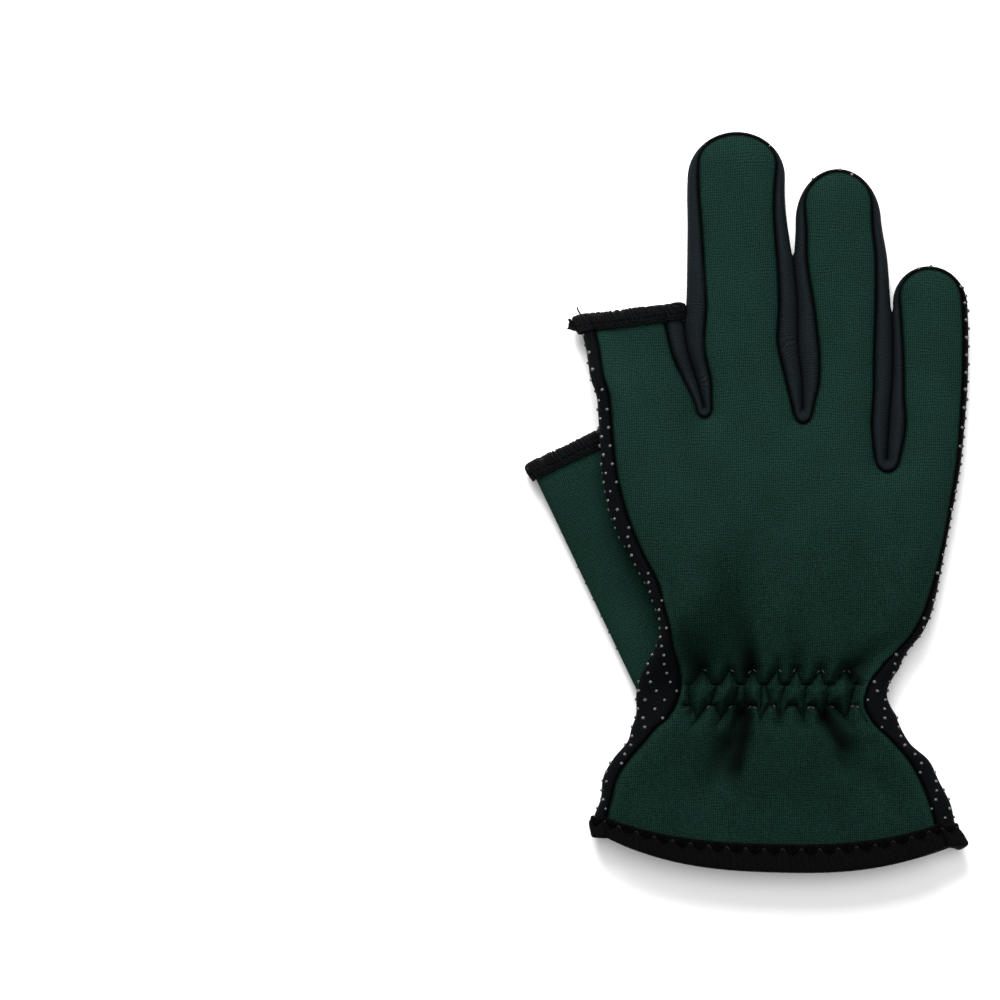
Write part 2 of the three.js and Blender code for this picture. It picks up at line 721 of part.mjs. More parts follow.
// A panel: the faces with one label as a wall of cloth whose sewn edges stand back by half a seam gap.
// Edges at the open mouths stay where they are.
function panelGeometry(skin, label, openIds) {
  const own = skin.faces.filter((face) => face.label === label);
  const edges = new Map();
  for (const { loop } of own) {
    loop.forEach((id, i) => {
      const next = loop[(i + 1) % loop.length];
      if (!edges.delete(`${next}_${id}`)) edges.set(`${id}_${next}`, [id, next]);
    });
  }
  const setBack = new Map();
  const leastPull = 0.1;
  for (const [a, b] of edges.values()) {
    if (openIds.has(a) && openIds.has(b)) continue;
    const along = skin.points[b].clone().sub(skin.points[a]).normalize();
    for (const id of [a, b]) {
      const inward = skin.normals[id].clone().cross(along).normalize();
      setBack.set(id, (setBack.get(id) ?? new THREE.Vector3()).add(inward));
    }
  }
  const ids = [...new Set(own.flatMap(({ loop }) => loop))];
  const outer = new Map(ids.map((id, i) => [id, i]));
  const points = [];
  for (const depth of [0, skin.thickness]) {
    for (const id of ids) {
      const point = skin.points[id].clone().addScaledVector(skin.normals[id], -depth);
      const back = setBack.get(id);
      if (back && back.length() > leastPull) point.addScaledVector(back.normalize(), seamGap / 2);
      points.push(point);
    }
  }
  const inner = (id) => outer.get(id) + ids.length;
  const triangles = own.flatMap(({ loop }) => fan(loop).flatMap(([a, b, c]) => [
    [outer.get(a), outer.get(b), outer.get(c)],
    [inner(a), inner(c), inner(b)],
  ]));
  for (const [a, b] of edges.values()) {
    triangles.push([outer.get(b), outer.get(a), inner(a)], [outer.get(b), inner(a), inner(b)]);
  }
  return solidGeometry(points, triangles);
}

// The space inside a skin moved outwards by a distance, closed across its mouths
function filledGeometry(skin, outwards, mouths) {
  const points = skin.points.map((p, i) => p.clone().addScaledVector(skin.normals[i], outwards));
  const triangles = skin.faces.flatMap(({ loop }) => fan(loop));
  for (const mouth of mouths) {
    const middle = points.length;
    const sum = mouth.reduce((total, id) => total.add(points[id]), new THREE.Vector3());
    points.push(sum.divideScalar(mouth.length));
    mouth.forEach((id, i) => triangles.push([middle, mouth[(i + 1) % mouth.length], id]));
  }
  return solidGeometry(points, triangles);
}

// An edging folded over the rim of a mouth: round the loop, a channel over both faces of the cloth. It
// follows the cloth from the rim to the row of vertices next to it.
function bindingGeometry(skin, mouth, height) {
  const stand = bindingClearance + bindingThickness;
  const rim = new Set(mouth);
  const beside = new Map();
  for (const { loop } of skin.faces) {
    loop.forEach((id, i) => {
      const next = loop[(i + 1) % loop.length];
      if (rim.has(id) && !rim.has(next)) beside.set(id, next);
      if (rim.has(next) && !rim.has(id)) beside.set(next, id);
    });
  }
  const sections = mouth.map((id) => {
    const rimPoint = skin.points[id];
    const inward = skin.points[beside.get(id)].clone().sub(rimPoint);
    const part = height / inward.length();
    const skirt = rimPoint.clone().addScaledVector(inward, part);
    const skirtNormal = skin.normals[id].clone().lerp(skin.normals[beside.get(id)], part);
    const out = inward.normalize().negate();
    const onRim = (across, along) => rimPoint.clone()
      .addScaledVector(skin.normals[id], across)
      .addScaledVector(out, along);
    const onSkirt = (across) => skirt.clone().addScaledVector(skirtNormal, across);
    return [
      onSkirt(stand),
      onRim(stand, stand),
      onRim(-clothThickness - stand, stand),
      onSkirt(-clothThickness - stand),
      onSkirt(-clothThickness - bindingClearance),
      onRim(-clothThickness - bindingClearance, bindingClearance),
      onRim(bindingClearance, bindingClearance),
      onSkirt(bindingClearance),
    ];
  });
  const size = sections[0].length;
  const triangles = [];
  sections.forEach((_, i) => {
    const next = (i + 1) % sections.length;
    for (let corner = 0; corner < size; corner += 1) {
      const turn = (corner + 1) % size;
      const [a, b] = [i * size + corner, i * size + turn];
      const [c, d] = [next * size + turn, next * size + corner];
      triangles.push([a, b, c], [a, c, d]);
    }
  });
  return solidGeometry(sections.flat(), triangles);
}

// Skin of the thumb: a flat tube whose back and grip meet along its two sides
const thumbStations = [...thumbRows, 1 - fingerBindingHeight / thumbLength, 1];
const powered = (value, power) => Math.sign(value) * Math.abs(value) ** power;
const thumbPoints = [];
const thumbFaces = [];
thumbStations.forEach((at) => {
  const middle = thumbBase.clone().lerp(thumbMouth, at);
  const foot = bindingStand * smooth((at - thumbRamp.start) / thumbRamp.run);
  for (let turn = 0; turn < thumbAround; turn += 1) {
    const angle = (turn / thumbAround) * 2 * Math.PI;
    const across = (thumbWidth / 2) * powered(Math.cos(angle), thumbBreadthPower);
    const spot = middle.clone().addScaledVector(thumbAcross, across);
    const rise = powered(Math.sin(angle), thumbHeightPower);
    thumbPoints.push(new THREE.Vector3(spot.x, spot.y, foot + (thumbHeight / 2) * (1 + rise)));
  }
});
for (let row = 0; row + 1 < thumbStations.length; row += 1) {
  for (let turn = 0; turn < thumbAround; turn += 1) {
    const next = (turn + 1) % thumbAround;
    const [low, high] = [row * thumbAround, (row + 1) * thumbAround];
    thumbFaces.push({
      loop: [low + turn, high + turn, high + next, low + next],
      label: turn < thumbAround / 2 ? 'back' : 'grip',
    });
  }
}
const turns = Array.from({ length: thumbAround }, (_, turn) => turn);
const thumbRing = (row) => turns.map((turn) => row * thumbAround + turn);
const thumbMouthLoop = thumbRing(thumbStations.length - 1);
const thumbBaseLoop = thumbRing(0).reverse();

function makeSkin(points, skinFaces) {
  return {
    points,
    faces: skinFaces,
    thickness: clothThickness,
    normals: vertexNormals(points, skinFaces),
  };
}
const handSkin = makeSkin(vertices, faces);
const thumbSkin = makeSkin(thumbPoints, thumbFaces);

// Cutting and joining of closed solids
const wasm = await Module();
wasm.setup();
function toSolid(geometry) {
  return new wasm.Manifold(new wasm.Mesh({
    numProp: 3,
    vertProperties: new Float32Array(geometry.getAttribute('position').array),
    triVerts: new Uint32Array(geometry.getIndex().array),
  }));
}
function fromSolid(solid) {
  const mesh = solid.getMesh();
  const geometry = new THREE.BufferGeometry();
  const flat = new Float32Array(mesh.numVert * 3);
  for (let i = 0; i < mesh.numVert; i += 1) {
    for (let k = 0; k < 3; k += 1) flat[3 * i + k] = mesh.vertProperties[i * mesh.numProp + k];
  }
  geometry.setAttribute('position', new THREE.BufferAttribute(flat, 3));
  geometry.setIndex([...mesh.triVerts]);
  return geometry;
}

const root = new THREE.Group();
function addPiece(name, geometry, colour) {
  geometry.computeVertexNormals();
  const mesh = new THREE.Mesh(geometry, new THREE.MeshStandardMaterial(colours[colour]));
  mesh.name = name;
  root.add(mesh);
}

const handOpen = new Set([...hemLoop, ...indexLoop]);
const thumbOpen = new Set([...thumbMouthLoop, ...thumbBaseLoop]);
const handFilled = toSolid(filledGeometry(handSkin, seamGap, [hemLoop, indexLoop]));
const thumbHollow = toSolid(
  filledGeometry(thumbSkin, -clothThickness, [thumbBaseLoop, thumbMouthLoop]),
);

addPiece('back_panel', panelGeometry(handSkin, 'back', handOpen), 'back');
const palmWall = toSolid(panelGeometry(handSkin, 'palm', handOpen));
addPiece('palm_panel', fromSolid(palmWall.subtract(thumbHollow)), 'palm');
for (const { name } of slots) {
  addPiece(`fourchette_${name}`, panelGeometry(handSkin, name, handOpen), 'fourchette');
}
for (const [name, label, colour] of [['thumb_back', 'back', 'back'], ['thumb_grip', 'grip', 'palm']]) {
  const wall = toSolid(panelGeometry(thumbSkin, label, thumbOpen));
  addPiece(name, fromSolid(wall.subtract(handFilled)), colour);
}
addPiece('index_binding', bindingGeometry(handSkin, indexLoop, fingerBindingHeight), 'binding');
addPiece('thumb_binding', bindingGeometry(thumbSkin, thumbMouthLoop, fingerBindingHeight), 'binding');
addPiece('cuff_binding', bindingGeometry(handSkin, hemLoop, cuffBindingHeight), 'binding');

// The origin is at the middle of the surface that the glove lies on.
const reach = new THREE.Box3().setFromObject(root);
const middle = reach.getCenter(new THREE.Vector3());
for (const mesh of root.children) {
  mesh.geometry.translate(-middle.x, -middle.y, -reach.min.z);
}

export default root;
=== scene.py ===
"""Dresses a foam rubber fishing glove for the right hand, which lies on its palm.

Lengths in the tables and classes are millimetres, with +X towards the little finger, +Y towards the
fingertips and +Z up. They become metres in the frame's own place when a mesh is made.
"""
import json
import logging
import math
from dataclasses import dataclass, field
from enum import Enum
from typing import Optional, Sequence, Union

import bpy
import numpy as np
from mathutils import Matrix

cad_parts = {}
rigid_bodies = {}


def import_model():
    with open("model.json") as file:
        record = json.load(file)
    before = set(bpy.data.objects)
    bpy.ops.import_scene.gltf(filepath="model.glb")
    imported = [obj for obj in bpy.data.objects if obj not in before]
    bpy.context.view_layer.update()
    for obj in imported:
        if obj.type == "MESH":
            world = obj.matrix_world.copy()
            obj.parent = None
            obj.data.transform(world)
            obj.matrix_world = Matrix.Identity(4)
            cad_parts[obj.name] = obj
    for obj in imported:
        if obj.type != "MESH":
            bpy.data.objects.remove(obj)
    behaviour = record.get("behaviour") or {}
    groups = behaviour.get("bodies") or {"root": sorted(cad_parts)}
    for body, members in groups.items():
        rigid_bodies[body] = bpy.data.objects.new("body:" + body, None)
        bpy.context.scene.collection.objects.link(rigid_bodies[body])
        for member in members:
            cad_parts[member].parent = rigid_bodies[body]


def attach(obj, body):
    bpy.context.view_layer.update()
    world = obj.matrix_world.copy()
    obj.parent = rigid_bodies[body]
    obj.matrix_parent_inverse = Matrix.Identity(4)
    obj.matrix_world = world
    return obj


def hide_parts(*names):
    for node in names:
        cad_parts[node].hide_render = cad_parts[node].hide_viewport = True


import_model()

log = logging.getLogger("glove")
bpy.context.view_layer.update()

Array = np.ndarray
Number = Union[float, Array]

FRAME_ORIGIN = np.array([-10.3395, 118.4238, 0.0])
MILLIMETRE = 0.001
SEED = 11


class Panel(Enum):
    """The sewn panels of the glove."""

    BACK = 0
    PALM = 1
    INDEX_MIDDLE = 2
    MIDDLE_RING = 3
    RING_LITTLE = 4
    GRIP = 5


class Side(Enum):
    """The two sides of the hand, with the sign of X there."""

    THUMB = -1
    LITTLE = 1


def clamp(value: Number) -> Array:
    """Value held between 0 and 1."""
    return np.clip(value, 0.0, 1.0)


def smooth(value: Number) -> Array:
    """Soft step from 0 to 1."""
    held = clamp(value)
    return held**2 * (3 - 2 * held)


def lerp(low: Number, high: Number, part: Number) -> Array:
    """Straight blend between two values or points."""
    return low + (high - low) * part


def unit(vectors: Array) -> Array:
    """Vectors with a length of one."""
    length = np.linalg.norm(vectors, axis=-1, keepdims=True)
    return vectors / np.maximum(length, 1e-9)


def circle(first: Array, second: Array, turn: Array) -> Array:
    """Points round unit circles, each spanned by two directions."""
    return first[:, None] * np.cos(turn)[None, :, None] + second[:, None] * np.sin(turn)[None, :, None]


def run_along(points: Array) -> Array:
    """Distance of each point of a path from its start, along the path."""
    return np.concatenate([[0], np.cumsum(np.linalg.norm(np.diff(points, axis=0), axis=1))])


def across_segments(points: Array, starts: Array, ends: Array) -> tuple[Array, Array]:
    """Distances from points to straight segments.

    Args:
        points: plan points, one a row.
        starts: first end of each segment.
        ends: other end of each segment.

    Returns:
        The distance and the share along the segment, as points by segments.
    """
    step = ends - starts
    length = np.maximum((step**2).sum(1), 1e-9)
    offset = points[:, None, :] - starts[None]
    share = clamp((offset * step[None]).sum(2) / length[None])
    gap = offset - share[:, :, None] * step[None]
    return np.sqrt((gap**2).sum(2)), share


@dataclass(frozen=True)
class Curve:
    """A smooth curve through a short table."""

    keys: tuple[float, ...]
    values: tuple[float, ...]

    def at(self, where: Number) -> Array:
        """Value of the curve.

        Args:
            where: places along the keys.

        Returns:
            The curve's value at each place, held at both ends.
        """
        keys, values = np.array(self.keys, float), np.array(self.values, float)
        where = np.clip(np.asarray(where, float), keys[0], keys[-1])
        low = np.clip(np.searchsorted(keys, where) - 1, 0, len(keys) - 2)
        slope = np.empty_like(values)
        slope[1:-1] = (values[2:] - values[:-2]) / (keys[2:] - keys[:-2])
        slope[0] = (values[1] - values[0]) / (keys[1] - keys[0])
        slope[-1] = (values[-1] - values[-2]) / (keys[-1] - keys[-2])
        span = keys[low + 1] - keys[low]
        part = (where - keys[low]) / span
        start, stop = values[low], values[low + 1]
        leave, arrive = slope[low] * span, slope[low + 1] * span
        bend = 3 * (stop - start) - 2 * leave - arrive
        return start + part * (leave + part * (bend + part * (2 * (start - stop) + leave + arrive)))


@dataclass(frozen=True)
class Finger:
    """A finger of the glove.

    Base and across place its foot as shares of the hand's depth and width. A cap of 0 is a cut-off tip
    with a mouth. Wraps are how wide its two side strips show, and shift and breadth follow its length.
    """

    length: float
    width: float
    base: float
    across: float
    cap: float
    columns: int
    wraps: tuple[float, float]
    shift: Curve
    breadth: Curve


@dataclass(frozen=True)
class Slot:
    """The bottom of the slot between two fingers, placed by shares of the hand's width and depth."""

    panel: Panel
    across: float
    depth: float
    half_width: float
    rise: float
    crotch: float


@dataclass(frozen=True)
class Fold:
    """A valley in the cloth between two plan points, whose depth runs from one value to another.

    Its slope towards the thumb side is as wide as reach, and the one towards the little side as lee. A
    fold with its flag set gets painted shade along its valley.
    """

    start: tuple[float, float]
    stop: tuple[float, float]
    depths: tuple[float, float]
    reach: float
    lee: float
    dusky: bool = True

    def width(self, points: Array, gap: Array, share: Array) -> Array:
        """Width of the slope that each point is on.

        Args:
            points: plan points.
            gap: distance of each point from the fold.
            share: how far along the fold the nearest place to each point is.

        Returns:
            One width for each point.
        """
        middle = lerp(self.start[0], self.stop[0], share)
        turn = (points[:, 0] - middle) / np.maximum(gap, 1e-6)
        return lerp(self.reach, self.lee, smooth(0.5 + 0.5 * turn))


FINGERS = (
    Finger(
        length=30.3, width=34.61, base=0.97, across=0.148, cap=0, columns=30, wraps=(0.62, 0.86),
        shift=Curve((0, 0.42, 0.7, 1), (0, -0.083, -0.13, -0.19)),
        breadth=Curve((0, 0.42, 0.7, 1), (1, 0.96, 0.93, 0.94)),
    ),
    Finger(
        length=90.1, width=36.2, base=0.953, across=0.444, cap=14.48, columns=30, wraps=(1.06, 1),
        shift=Curve(
            (0, 0.1, 0.24, 0.39, 0.53, 0.68, 0.8, 1),
            (0, -0.04, -0.12, -0.12, -0.14, -0.165, -0.175, -0.15),
        ),
        breadth=Curve(
            (0, 0.1, 0.24, 0.39, 0.53, 0.68, 0.8, 1),
            (0.88, 0.93, 1, 0.99, 0.94, 0.88, 0.865, 0.86),
        ),
    ),
    Finger(
        length=83.8, width=29.9, base=0.888, across=0.697, cap=17.04, columns=26, wraps=(0.96, 0.88),
        shift=Curve(
            (0, 0.11, 0.21, 0.34, 0.5, 0.65, 0.79, 1),
            (0, 0.01, 0.015, -0.005, -0.03, -0.062, -0.085, -0.11),
        ),
        breadth=Curve(
            (0, 0.11, 0.21, 0.34, 0.5, 0.65, 0.79, 1),
            (0.88, 0.9, 0.97, 1, 1, 1, 0.92, 0.91),
        ),
    ),
    Finger(
        length=68.8, width=24.62, base=0.7, across=0.906, cap=12.31, columns=22, wraps=(0.64, 0.26),
        shift=Curve((0, 0.16, 0.33, 0.51, 0.79, 1), (0, 0.05, 0.08, 0.12, 0.12, 0.07)),
        breadth=Curve((0, 0.16, 0.33, 0.51, 0.79, 1), (0.92, 0.97, 1, 0.98, 0.97, 0.95)),
    ),
)
SLOTS = (
    Slot(Panel.INDEX_MIDDLE, across=0.299, depth=0.934, half_width=2.4, rise=3, crotch=0.04),
    Slot(Panel.MIDDLE_RING, across=0.575, depth=0.912, half_width=3, rise=4, crotch=0.055),
    Slot(Panel.RING_LITTLE, across=0.81, depth=0.731, half_width=4, rise=5, crotch=0.05),
)


# The stations up each side, how far the side stands out there and how wide it shows from above.
OUTLINE = {
    Side.THUMB: (
        (0, 0.12, 0.3, 0.48, 0.64, 0.78, 0.9, 1, 1.5, 2, 2.07, 2.15, 2.23, 2.32, 2.43, 2.53, 2.64, 2.75, 3),
        (1, 1.04, 0.86, 0.8, 0.55, 0.22, 0.12, 0.02, 0, -0.2, -0.44, -0.58, -0.45, -0.2, 0.2, 0.57, 0.77,
         0.88, 1),
        (0.96, 1, 0.8, 1.08, 1.24, 1.3, 1.9, 2.6, 3.4, 2.7, 1.48, 0.7, 0.66, 0.96, 1.04, 1.3, 1.2, 1.05,
         0.96),
    ),
    Side.LITTLE: (
        (0, 0.12, 0.3, 0.48, 0.64, 0.78, 1, 1.5, 2, 2.1, 2.21, 2.35, 2.63, 2.88, 3),
        (1, 0.89, 0.82, 0.67, 0.54, 0.29, 0.12, 0, 0.18, 0.3, 0.52, 0.67, 0.82, 0.94, 1),
        (1.76, 1.56, 1.68, 1.48, 1.6, 1.28, 2.2, 1.7, 1.52, 0.9, 0.8, 0.62, 0.34, 0.28, 0.34),
    ),
}


@dataclass
class Stops:
    """Stations round the outline, each with a side, a seam on the back and a seam underneath."""

    edge: Array
    seam: Array
    under: Array
    panels: list[Panel]
    ids: Array = field(default_factory=lambda: np.empty((0, 0), int))

    def backwards(self) -> "Stops":
        """The same stops in the other order."""
        return Stops(self.edge[::-1], self.seam[::-1], self.under[::-1], self.panels[::-1], self.ids[::-1])


@dataclass
class HandPlan:
    """Plan and thickness of the lying glove, in the named sizes of the part."""

    cuff_width: float = 118.4
    wrist_width: float = 80.2
    wrist_shift: float = -5.7
    knuckle_width: float = 114.8
    knuckle_shift: float = -1.2
    cuff_depth: float = 38
    band_depth: float = 15
    thumb_side_depth: float = 86
    little_side_depth: float = 55
    hem_bow: float = 12
    hem_power: float = 2.6
    hem_drop: float = 3
    hem_fade: float = 1.5
    mouth_skew: float = 0.105
    side_show: float = 4
    cuff_height: float = 14
    wrist_height: float = 16
    palm_height: float = 15.5
    finger_height: float = 13
    palm_shares: tuple[float, float, float] = (0.35, 0.7, 1.1)
    underside_inset: float = 4
    fourchette_show: float = 6.6
    fingertip_rim: float = 1.1
    finger_gap: float = -0.025
    meeting: float = 0.7
    binding_stand: float = 1.2
    seam_gap: float = 0.3
    mouth_binding: float = 4.2
    cuff_binding: float = 7.5
    thumb_length: float = 79
    thumb_width: float = 36
    thumb_height: float = 9.2
    thumb_lean: float = 25.5
    thumb_inset: float = 16.2
    thumb_rise: float = 1
    thumb_clearance: float = 1
    lift_run: float = 24
    thumb_lift_start: float = 0.45
    hem_hold: float = 1.6
    mouth_hold: float = 1.4
    cap_pull: float = 0.35
    settle_run: float = 0.5
    slot_under: tuple[float, float] = (0.8, 0.3)
    slot_columns: int = 8
    cap_rows: int = 14
    row_step: float = 0.95
    tangent_step: float = 0.02

    def __post_init__(self) -> None:
        """Works out the frame of the thumb and the curves of the outline."""
        self.knuckle = {side: self.knuckle_width / 2 + side.value * self.knuckle_shift for side in Side}
        self.wrist = {side: self.wrist_width / 2 + side.value * self.wrist_shift for side in Side}
        self.out = {side: Curve(keys, out) for side, (keys, out, _) in OUTLINE.items()}
        self.show = {side: Curve(keys, show) for side, (keys, _, show) in OUTLINE.items()}
        self.wrap_along = Curve((0, 0.12, 0.28, 0.55, 0.8, 1), (0.55, 0.85, 1, 0.74, 0.5, 0.35))
        self.hem_sag = self.hem_bow - self.hem_drop / 2 - self.binding_stand
        lean = math.radians(self.thumb_lean)
        self.thumb_along = np.array([-math.sin(lean), math.cos(lean)])
        self.thumb_across = np.array([math.cos(lean), math.sin(lean)])
        base_x = self.thumb_inset - self.wrist[Side.THUMB]
        self.thumb_base = np.array([base_x, self.hand_y(0) + self.thumb_rise])
        self.thumb_mouth = self.thumb_base + self.thumb_length * self.thumb_along
        wrist_y = float(self.station_y(Side.THUMB, 1.5))
        palm_y = [self.hand_y(share) for share in self.palm_shares]
        cuff, palm = self.cuff_height, self.palm_height
        self.heights = Curve(
            (0, self.cuff_depth / 2, wrist_y, *palm_y),
            (cuff, cuff, self.wrist_height, palm, palm, self.finger_height),
        )
        sides = [self.finger_frame(FINGERS[0], np.array([1.0]), sign) for sign in (-1, 1)]
        self.index_mouth = sum(centre[0] + out[0] * half[0] for centre, _, out, half, _ in sides) / 2

    def station_y(self, side: Side, station: Number) -> Array:
        """Y of a station: 0 to 1 up the cuff, 1 to 2 over the wrist and 2 to 3 up the hand.

        Args:
            side: which side of the hand.
            station: the station, or several.

        Returns:
            The Y of each.
        """
        depth = self.thumb_side_depth if side is Side.THUMB else self.little_side_depth
        station = np.asarray(station, float)
        below = np.minimum(station, 1) * self.cuff_depth + clamp(station - 1) * self.band_depth
        drop = self.hem_drop * (1 - clamp(station)) ** self.hem_fade if side is Side.LITTLE else 0
        return self.hem_bow + below + np.maximum(0, station - 2) * depth - drop

    def hand_y(self, share: float) -> float:
        """Y of a share of the hand's depth above the wrist band."""
        return float(self.station_y(Side.THUMB, 2)) + share * self.thumb_side_depth

    def knuckle_x(self, across: float) -> float:
        """X of a share of the knuckle width."""
        return float(lerp(-self.knuckle[Side.THUMB], self.knuckle[Side.LITTLE], across))

    def stops_from(
        self, edge: Array, inward: Array, show: Number, panel: Panel, under: Optional[Number] = None
    ) -> Stops:
        """Stops from their side points.

        Args:
            edge: plan points of the side.
            inward: direction from each side point into the panel.
            show: width of the side seen from above.
            panel: panel of the side.
            under: inset of the seam underneath.

        Returns:
            The stops, not yet in a skin.
        """
        inset = self.underside_inset if under is None else under
        wide = np.broadcast_to(np.asarray(show, float), (len(edge),))[:, None]
        deep = np.broadcast_to(np.asarray(inset, float), (len(edge),))[:, None]
        return Stops(edge.copy(), edge + inward * wide, edge + inward * deep, [panel] * len(edge))

    def side_stops(self, side: Side, stations: Array) -> Stops:
        """Stops up one side of the hand.

        Args:
            side: which side.
            stations: places from the hem to the knuckles.

        Returns:
            One stop a station.
        """
        wide = np.where(stations < 1.5, self.cuff_width / 2, self.knuckle[side])
        half = lerp(self.wrist[side], wide, self.out[side].at(stations))
        edge = np.stack([side.value * half, self.station_y(side, stations)], 1)
        inward = np.tile([-float(side.value), 0.0], (len(edge), 1))
        return self.stops_from(edge, inward, self.side_show * self.show[side].at(stations), Panel.PALM)

    def finger_frame(
        self, finger: Finger, at: Array, sign: int
    ) -> tuple[Array, Array, Array, Array, Array]:
        """Frame of a finger's side.

        Args:
            finger: the finger.
            at: shares of its length.
            sign: -1 for its thumb side and 1 for its little side.

        Returns:
            Centre, direction, outward direction, half width and shown width of the side.
        """

        def centre(where: Array) -> Array:
            """Middle of the finger."""
            x = self.knuckle_x(finger.across) + finger.width * finger.shift.at(where)
            return np.stack([x, self.hand_y(finger.base) + where * finger.length], 1)

        step = self.tangent_step
        along = unit(centre(np.minimum(1, at + step)) - centre(np.maximum(0, at - step)))
        out = np.stack([along[:, 1], -along[:, 0]], 1) * sign
        half = finger.width * finger.breadth.at(at) / 2
        outer = finger is FINGERS[0] or finger is FINGERS[-1] and sign > 0
        share = np.ones_like(at) if outer else self.wrap_along.at(at)
        wrap = finger.wraps[0] if sign < 0 else finger.wraps[1]
        return centre(at), along, out, half, self.fourchette_show * wrap * share

    def finger_stops(self, finger: Finger, sign: int, panel: Panel) -> Stops:
        """Stops up one side of a finger, with its rounded cap.

        Args:
            finger: the finger.
            sign: -1 for its thumb side and 1 for its little side.
            panel: panel of that side.

        Returns:
            The stops from just past the base to the last row before the tip.
        """
        top = 1 - finger.cap / finger.length
        count = round(top * finger.length / self.row_step)
        at = np.linspace(0, top, count + 1)[1:]
        centre, along, out, half, show = self.finger_frame(finger, at, sign)
        under = np.minimum(self.underside_inset, half / 2)
        stops = self.stops_from(centre + out * half[:, None], -out, show, panel, under)
        if not finger.cap:
            for name in ("edge", "seam", "under"):
                points = getattr(stops, name)
                across = ((points - centre) * out).sum(1) * sign
                setattr(stops, name, points - along * (self.mouth_skew * across * smooth(at))[:, None])
            return stops
        frame_there = self.finger_frame(finger, np.array([top]), sign)
        centre, along, out, half, show = (part[0] for part in frame_there)
        tip = self.finger_frame(finger, np.array([1.0]), sign)[0][0]
        angle = np.arange(1, self.cap_rows + 1) / (self.cap_rows + 1) * math.pi / 2
        rise, run = np.sin(angle)[:, None], np.cos(angle)[:, None]

        def place(inset: float, shorter: float) -> Array:
            """Points of the cap, drawn in from its outline."""
            middle = lerp(centre[None], tip[None], rise) - along[None] * shorter * rise
            return middle + out[None] * (half - inset) * run

        rim = self.fingertip_rim
        pull = half * self.cap_pull
        quarter = math.pi / 4 - 1e-6
        panels = [Panel.PALM if turn >= quarter else panel for turn in angle]
        cap = Stops(place(0, 0), place(max(rim, show), rim), place(pull, pull), panels)
        blended = smooth(angle / (math.pi / 4))[:, None]
        cap.seam = lerp(place(show, rim), place(rim, rim), blended)
        return Stops(
            np.vstack([stops.edge, cap.edge]),
            np.vstack([stops.seam, cap.seam]),
            np.vstack([stops.under, cap.under]),
            stops.panels + cap.panels,
        )

    def tip_stop(self, finger: Finger) -> Stops:
        """The one stop at the tip of a closed finger.

        Args:
            finger: the finger.

        Returns:
            A single stop.
        """
        centre, along, _, half, _ = self.finger_frame(finger, np.array([1.0]), 1)
        pull = half[:, None] * self.cap_pull
        return Stops(centre, centre - along * self.fingertip_rim, centre - along * pull, [Panel.PALM])

    def slot_stops(self, slot: Slot) -> Stops:
        """Stops round the bottom of a slot.

        Args:
            slot: the slot.

        Returns:
            Its stops from the thumb side to the little side.
        """
        bottom = np.array([self.knuckle_x(slot.across), self.hand_y(slot.depth)])
        turn = np.linspace(0, math.pi, self.slot_columns + 1)
        crotch = slot.crotch * self.thumb_side_depth
        seam = np.stack([-slot.half_width * np.cos(turn), slot.rise * (1 - np.sin(turn))], 1)
        gap = self.finger_gap
        edge = np.stack([-gap * np.cos(turn), crotch + gap * (1 - np.sin(turn))], 1)
        under = np.stack([seam[:, 0], seam[:, 1] * self.slot_under[0] + crotch * self.slot_under[1]], 1)
        return Stops(edge + bottom, seam + bottom, under + bottom, [slot.panel] * len(turn))

    def settle(self, finger: Finger, stops: Stops, end: tuple[Array, Array, Array], sign: int) -> None:
        """Draws the first rows of a finger's side to the end of the slot or side below it.

        Args:
            finger: the finger.
            stops: its stops on that side, which are moved.
            end: edge, seam and under point of the stop below.
            sign: -1 for its thumb side and 1 for its little side.
        """
        frame_there = self.finger_frame(finger, np.array([0.0]), sign)
        centre, _, out, half, show = (part[0] for part in frame_there)
        edge = centre + out * half
        plain = {"edge": edge, "seam": edge - out * show, "under": edge - out * self.underside_inset}
        part = 1 - smooth((stops.edge[:, 1] - edge[1]) / (self.settle_run * finger.length))
        for name, point in zip(("edge", "seam", "under"), end):
            setattr(stops, name, getattr(stops, name) + part[:, None] * (point - plain[name]))

    def keep_apart(self, left: Stops, right: Stops) -> None:
        """Pulls two neighbouring sides out of each other.

        Args:
            left: stops of the finger on the thumb side.
            right: stops of the finger on the little side.
        """

        def pull(own: Stops, other: Stops, sign: int) -> Array:
            """How far each stop of one side has to move.

            Args:
                own: the stops that move.
                other: the stops of the other finger.
                sign: 1 where the other finger is on the little side.

            Returns:
                The move of each stop along X.
            """
            at = np.interp(own.edge[:, 1], other.edge[:, 1], other.edge[:, 0], left=np.nan, right=np.nan)
            room = np.where(np.isnan(at), 1e3, sign * (at - own.edge[:, 0]))
            return np.where(room < self.meeting, sign * (room - 2 * self.finger_gap) / 2, 0)

        moves = pull(left, right, 1), pull(right, left, -1)
        left.edge[:, 0] += moves[0]
        right.edge[:, 0] += moves[1]

